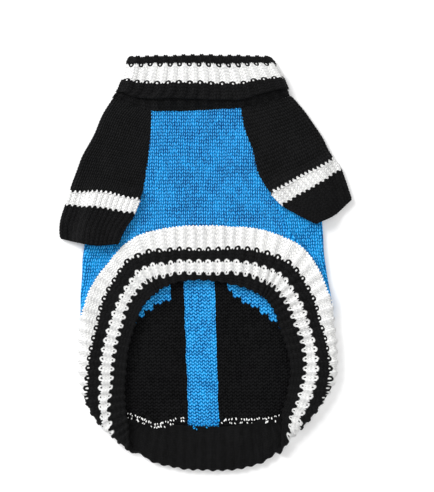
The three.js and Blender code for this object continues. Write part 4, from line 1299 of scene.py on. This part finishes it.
def stitch_group():
    """Relief, painted shade in the gaps, fibres of a knit, and where each stitch lies.

    Rib is the rib's period in stitches, 0 for none; Purl is 1 on a wrong side. A face stitch is two
    slanted legs in a V, a purl stitch a row of beads on a low arch. Row is the place in courses.
    """
    name = "Knit stitches"
    if name in bpy.data.node_groups:
        return bpy.data.node_groups[name]
    outputs = ("Height", "Gap", "Fibre", "Course", "Wale", "Row", "Rib phase", "Mottle", "Own shade")
    group, n, start, end = new_group(name, ("Rib", "Purl"), outputs)
    uv = n.make("UVMap", {}, uv_map="stitch")
    # Uneven yarn: each stitch wanders a little
    u = (n.noise(uv, 0.7, 2.0) - 0.5) * 0.6 + n.make("SeparateXYZ", {0: uv}, "X")
    v = (n.noise(uv, 0.4, 1.0) - 0.5) * 0.6 + n.make("SeparateXYZ", {0: uv}, "Y")
    leg = abs(u.fract() * 2.0 - 1.0)
    face_down = leg * 0.55 + v
    wale = abs(leg * 2.0 - 1.0) ** 1.8 * -0.95 + 1.0
    knit = (face_down.fract() * math.pi).sine() ** 0.55 * wale
    arch = (u * (2 * math.pi)).cosine()
    purl_down = arch * 0.24 + v
    purl = abs((purl_down * math.pi).sine()) ** 0.7 * (abs(arch) ** 0.6 * 0.6 + 0.4)
    rib_phase = (u / start["Rib"].at_least(1.0)).fract()
    raised = n.ramp((rib_phase * (2 * math.pi)).sine(), -0.35, 0.55).at_least(start["Rib"] < 0.5)
    face = abs(raised - start["Purl"])
    height = (knit - purl) * face + purl
    course = ((face_down - purl_down) * face + purl_down).floor()
    # Fibres: fine noise drawn out along the yarn
    fibre = n.noise(n.make("Mapping", {"Vector": uv, "Scale": (8.0, 3.5, 1.0)}), 2.4, 4.0)
    # Gap is painted shade: darker where the yarn sinks, in the grooves between wales and in a rib's sunk
    # columns
    groove = n.ramp(leg, 0.70, 0.98) * face * 0.7
    cell = n.make("CombineXYZ", {0: (u * 2.0).floor(), 1: course})
    results = (
        height,
        n.ramp(fibre * 0.4 + height, 1.10, 0.34).at_least(groove).at_least((1.0 - raised) * 0.2),
        fibre,
        course,
        u.floor(),
        leg * face * 0.4 + v,
        rib_phase,
        n.noise(uv, 0.12, 3.0),
        n.make("TexWhiteNoise", {"Vector": cell}, "Value", noise_dimensions="2D"),
    )
    for label, value in zip(outputs, results):
        n.put(value, end[label])
    return group


def stripe_group():
    """1 past a colour change in rib, which arches in each sunk column with a dot of the other colour.

    Hang is 1 where the new colour rises into the old and -1 where the old one hangs into the new.
    The arch is the square root of 1 less the square of the distance from the sunk column's middle.
    """
    name = "Stripe edge"
    if name in bpy.data.node_groups:
        return bpy.data.node_groups[name]
    inputs = ("Rib phase", "Row", "At", "Hang", "Rise", "Dot")
    group, n, start, end = new_group(name, inputs, ("Mask",))
    distance = abs((start["Rib phase"] + 0.75).fract() - 0.5)
    arch = (1.0 - (distance / 0.30) ** 2.0).at_least(0.0).root()
    past = start["Row"] + start["Hang"] * start["Rise"] * arch - start["At"]
    middle = start["Hang"] * 0.14 + (start["Row"] - start["At"])
    round_dot = (distance / 0.085) ** 2.0 + (abs(middle) / 0.29) ** 2.0
    dot = n.ramp(round_dot, 1.3, 0.7) * start["Dot"]
    n.put(abs(n.ramp(past, -0.12, 0.12) - dot), end["Mask"])
    return group


def stripe_edge(n, knit, at, hang, rise=0.95, dot=0.9):
    """A stripe edge's mask in one material, its arches as far before the edge as past it."""
    sockets = {"At": at + hang * rise / 2, "Hang": hang, "Rise": rise, "Dot": dot}
    sockets.update({label: knit[label] for label in ("Rib phase", "Row")})
    return n.make("Group", sockets, node_tree=stripe_group())


def new_material(name):
    """A material without nodes, and the means to add them."""
    material = bpy.data.materials.new(name)
    material.use_nodes = True
    material.node_tree.nodes.clear()
    return material, Nodes(material.node_tree)


def yarn_colours(name):
    """A yarn's lit colour and the painted shade colour of its gaps."""
    yarn = bpy.context.scene.sweater_yarn
    return (*getattr(yarn, name), 1.0), (*getattr(yarn, f"{name}_gap"), 1.0)


def knit_material(name, base, rib=0, mask=None, sheen=0.012, gloss=0.12, painted_highlight=0.0):
    """A knit: two yarns by a mask, with painted shade between stitches and on the inside, a little mottled,
    with fibres and bump.

    mask is the other yarn's name and a function for its mask. The last argument is how far a painted
    highlight lightens the tops of the base colour's stitches toward white.
    """
    material, n = new_material(name)
    inside = n.make("Attribute", {}, "Fac", attribute_name="inside")
    knit = values_of(n, n.add("Group", {"Rib": rib, "Purl": inside}, node_tree=stitch_group()).outputs)
    lit, gap = yarn_colours(base)
    # Painted highlight: the tops of the stitches mixed toward white
    if painted_highlight:
        tops = n.ramp(knit["Fibre"] * 0.5 + knit["Height"], 0.95, 1.3)
        lit = n.mix_colour(tops * painted_highlight, lit, (1.0, 1.0, 1.0, 1.0))
    if mask:
        share = mask[1](n, knit, inside)
        lit, gap = (n.mix_colour(share, *pair) for pair in zip((lit, gap), yarn_colours(mask[0])))
    uneven = n.ramp(knit["Mottle"], 0.3, 0.7) * -0.24 + 0.24
    fuzz = n.ramp(knit["Fibre"], 0.32, 0.7) * -0.4 + uneven
    # Painted shade: the inside darker than the outside; each stitch also has its own random tone
    inside_shade_and_tone = inside * 0.12 + (knit["Own shade"] * 0.5 - 0.25)
    shade = knit["Gap"] * 0.9 + inside_shade_and_tone + fuzz
    # Mixed from the lit colour toward the gap's painted shade
    colour = n.mix_colour(shade.at_most(1.0).at_least(0.0), lit, gap)
    looks = {"Roughness": 0.92, "Specular IOR Level": gloss, "Sheen Weight": sheen, "Sheen Roughness": 0.45}
    n.surface(colour, knit["Fibre"] * 0.4 + knit["Height"], 0.8, 0.001, looks)
    return material


def yarn_material(name, colour):
    """One yarn, with fibres along Object coordinates."""
    material, n = new_material(name)
    fibre = n.noise(n.make("TexCoord", {}, "Object"), 2600.0, 3.0)
    shaded = n.mix_colour(n.ramp(fibre, 0.62, 0.25) * 0.6, *yarn_colours(colour))
    looks = {"Roughness": 0.9, "Specular IOR Level": 0.15, "Sheen Weight": 0.03}
    n.surface(shaded, fibre, 0.5, 0.0002, looks)
    return material


def band_mask(n, knit, inside):
    """The first black stripe, the second at the free edge, and the whole lining."""
    edges = zip(STRIPE_COURSES[1:4], (1, 1, -1))
    first, second, third = (stripe_edge(n, knit, at, hang) for at, hang in edges)
    return (first * (1.0 - second)).at_least(third).at_least(inside > 0.02)


def collar_mask(n, knit, inside):
    """The stripe on the flap's outside."""
    start, end = (stripe_edge(n, knit, at, hang) for at, hang in zip(COLLAR_STRIPE, (-1, 1)))
    return start * (1.0 - end) * (inside < 0.5)


def sleeve_mask(n, knit, inside):
    """The teeth of the cuff's stripe in the sleeve's last course."""
    return stripe_edge(n, knit, -0.3, 1, 0.6, 0.0)


def cuff_mask(n, knit, inside):
    """The stripe at the cuff's start, its lower edge in fine teeth."""
    return 1.0 - stripe_edge(n, knit, CUFF_STRIPE, 1, 0.7, 0.0)


def back_mask(n, knit, inside):
    """From two stepped lines down to the band, but for a stripe down the middle."""
    sizes = knit_sizes()
    across = (knit["Wale"] / BLUE_STEP).floor() * (BLUE_STEP * sizes.wale)
    height = knit["Course"] * -sizes.course
    left, right = (across * slope + rise for slope, rise in (BLUE_LEFT, BLUE_RIGHT))
    corners, stripe = (
        (knit["Wale"] > low / sizes.wale - 0.5) * (knit["Wale"] < high / sizes.wale - 0.5)
        for low, high in (BLUE_CORNERS, BLUE_STRIPE)
    )
    below = height < left.at_most(right)
    return below.at_least(corners * (height < 0.0)) * (1.0 - stripe)


def floor_material():
    """Plain pale paper, with a faint grain."""
    material, n = new_material("Floor")
    grain = n.noise(n.make("TexCoord", {}, "Object"), 900.0, 2.0)
    colour = n.mix_colour(grain, (0.93, 0.93, 0.93, 1.0), (0.95, 0.95, 0.95, 1.0))
    shader = n.make("BsdfPrincipled", {"Base Color": colour, "Roughness": 0.8})
    n.add("OutputMaterial", {"Surface": shader})
    return material


# Operators


class SWEATER_OT_panels(bpy.types.Operator):
    """Build the back and belly panels"""

    bl_idname = "sweater.panels"
    bl_label = "Panels"

    def execute(self, context):
        cloth = knit_material("Back knit", "blue", mask=("black", back_mask), gloss=0.04, painted_highlight=0.12)
        back = add_piece("back_panel_knit", back_panel_mesh(), cloth, "back_knit", "back_panel")
        cloth = knit_material("Belly knit", "blue", sheen=0.03, painted_highlight=0.12)
        belly = add_piece("belly_panel_knit", belly_panel_mesh(), cloth, "belly_knit", "belly_panel")
        return {"FINISHED"}


class SWEATER_OT_sleeves(bpy.types.Operator):
    """Build both sleeves and their cuffs"""

    bl_idname = "sweater.sleeves"
    bl_label = "Sleeves and cuffs"

    def execute(self, context):
        knit = knit_material("Sleeve knit", "black", 0, ("white", sleeve_mask))
        rib = knit_material("Cuff rib", "black", CUFF_RIB_STITCHES, ("white", cuff_mask))
        for side in SIDES:
            name = side.name
            mesh = sleeve_mesh(side)
            sleeve = add_piece(f"sleeve_{name}_knit", mesh, knit, "sleeve_knit", f"sleeve_{name}")
            cuff = add_piece(f"cuff_{name}_knit", cuff_mesh(side), rib, "cuff_rib", f"cuff_{name}")
        return {"FINISHED"}


class SWEATER_OT_collar(bpy.types.Operator):
    """Build the turned-down collar"""

    bl_idname = "sweater.collar"
    bl_label = "Collar"

    def execute(self, context):
        rib = knit_material("Collar rib", "black", RIB_STITCHES, ("white", collar_mask))
        collar = add_piece("collar_knit", collar_mesh(), rib, "collar_rib", "collar")
        return {"FINISHED"}


class SWEATER_OT_band(bpy.types.Operator):
    """Build the hem band"""

    bl_idname = "sweater.band"
    bl_label = "Hem band"

    def execute(self, context):
        rib = knit_material("Band rib", "white", RIB_STITCHES, ("black", band_mask))
        band = add_piece("hem_band_knit", hem_band_mesh(), rib, "band_rib", "hem_band")
        return {"FINISHED"}


class SWEATER_OT_sewing(bpy.types.Operator):
    """Sew the seams with their linking stitches"""

    bl_idname = "sweater.sewing"
    bl_label = "Sewing"

    def execute(self, context):
        names = ("black", "blue", "white")
        black, blue, white = (yarn_material(f"{name.title()} yarn", name) for name in names)
        pitch = knit_sizes().wale * SEAM_PITCH
        raglans, neck, side_seams, band_seam = seam_lines()
        dark = [seam_row(line, pitch, 1.0, seed=i) for i, line in enumerate(raglans)]
        dark.append(seam_row(neck, pitch, 1.0, seed=5))
        sides = [seam_row(line, pitch, 0.9, seed=8 + i) for i, line in enumerate(side_seams)]
        hem = [seam_row(band_seam, pitch, 1.0, seed=11)]
        pale, tinted = [], []
        cloth = [bpy.data.objects[name] for name in ("back_panel_knit", "hem_band_knit")]
        for i, line in enumerate(lining_lines()):
            row = speck_row(laid_on(line, cloth, SPECK_PROUD), seed=20 + i)
            place = row.reshape(len(row), -1, 3).mean(axis=1)
            across = place[:, 0] + WALE_LEAN * (place[:, 1] - WALE_LEAN_FROM)
            shown = np.random.default_rng(30 + i).uniform(size=len(row)) < SPECK_SHOWN[i]
            over_stripe = (across > BLUE_STRIPE[0]) & (across < BLUE_STRIPE[1])
            pale.append(row[shown & ~over_stripe])
            tinted.append(row[shown & over_stripe])
        for name, parts, material, slot in (
            ("raglan_stitches", dark, black, "sleeve_knit"),
            ("side_stitches", sides + tinted, blue, "back_knit"),
            ("band_stitches", hem + pale, white, "band_rib"),
        ):
            add_piece(name, loops_mesh(name, parts), material, slot)
        return {"FINISHED"}


class SWEATER_OT_stage(bpy.types.Operator):
    """Set the floor, the light and the camera"""

    bl_idname = "sweater.stage"
    bl_label = "Stage"

    def execute(self, context):
        view = context.scene.sweater_view
        bpy.ops.mesh.primitive_plane_add(size=6)
        floor = context.object
        floor.name = "floor"
        floor.data.materials.append(floor_material())
        camera = bpy.data.cameras.new("Photograph's view")
        camera.lens = view.lens
        camera.sensor_width = 36
        camera.clip_start = 0.05
        holder = bpy.data.objects.new("Photograph's view", camera)
        distance = view.height_px * view.pixel * view.lens / camera.sensor_width
        holder.location = (view.middle_x, view.middle_y, view.focus_height + distance)
        context.scene.collection.objects.link(holder)
        context.scene.camera = holder
        for name, place, size, power in (
            ("Window", (-1.1, 1.0, 1.2), 0.9, 34),
            ("Ceiling", (0.4, -0.2, 2.4), 2.2, 26),
        ):
            light = bpy.data.lights.new(name, "AREA")
            light.size = size
            light.energy = power
            lamp = bpy.data.objects.new(name, light)
            lamp.location = place
            direction = -np.array(place) / np.linalg.norm(place)
            lamp.rotation_euler = (
                math.acos(-direction[2]), 0, math.atan2(direction[1], direction[0]) - math.pi / 2
            )
            context.scene.collection.objects.link(lamp)
        world = bpy.data.worlds.new("Studio")
        world.use_nodes = True
        world.node_tree.nodes["Background"].inputs[0].default_value = (1, 1, 1, 1)
        world.node_tree.nodes["Background"].inputs[1].default_value = 0.5
        context.scene.world = world
        context.scene.view_settings.view_transform = "Standard"
        return {"FINISHED"}


class SWEATER_PT_panel(bpy.types.Panel):
    """Buttons for each step"""

    bl_label = "Dog sweater"
    bl_space_type = "VIEW_3D"
    bl_region_type = "UI"
    bl_category = "Sweater"

    def draw(self, context):
        for operator in OPERATORS:
            self.layout.operator(operator.bl_idname)


OPERATORS = (
    SWEATER_OT_panels,
    SWEATER_OT_sleeves,
    SWEATER_OT_collar,
    SWEATER_OT_band,
    SWEATER_OT_sewing,
    SWEATER_OT_stage,
)
CLASSES = (SweaterKnit, SweaterYarn, SweaterView, *OPERATORS, SWEATER_PT_panel)


def register():
    for cls in CLASSES:
        bpy.utils.register_class(cls)
    bpy.types.Scene.sweater_knit = bpy.props.PointerProperty(type=SweaterKnit)
    bpy.types.Scene.sweater_yarn = bpy.props.PointerProperty(type=SweaterYarn)
    bpy.types.Scene.sweater_view = bpy.props.PointerProperty(type=SweaterView)


def unregister():
    del bpy.types.Scene.sweater_knit
    del bpy.types.Scene.sweater_yarn
    del bpy.types.Scene.sweater_view
    for cls in reversed(CLASSES):
        bpy.utils.unregister_class(cls)


def main():
    register()
    bpy.ops.sweater.panels()
    bpy.ops.sweater.sleeves()
    bpy.ops.sweater.collar()
    bpy.ops.sweater.band()
    bpy.ops.sweater.sewing()
    bpy.ops.sweater.stage()


if __name__ == "__main__":
    main()
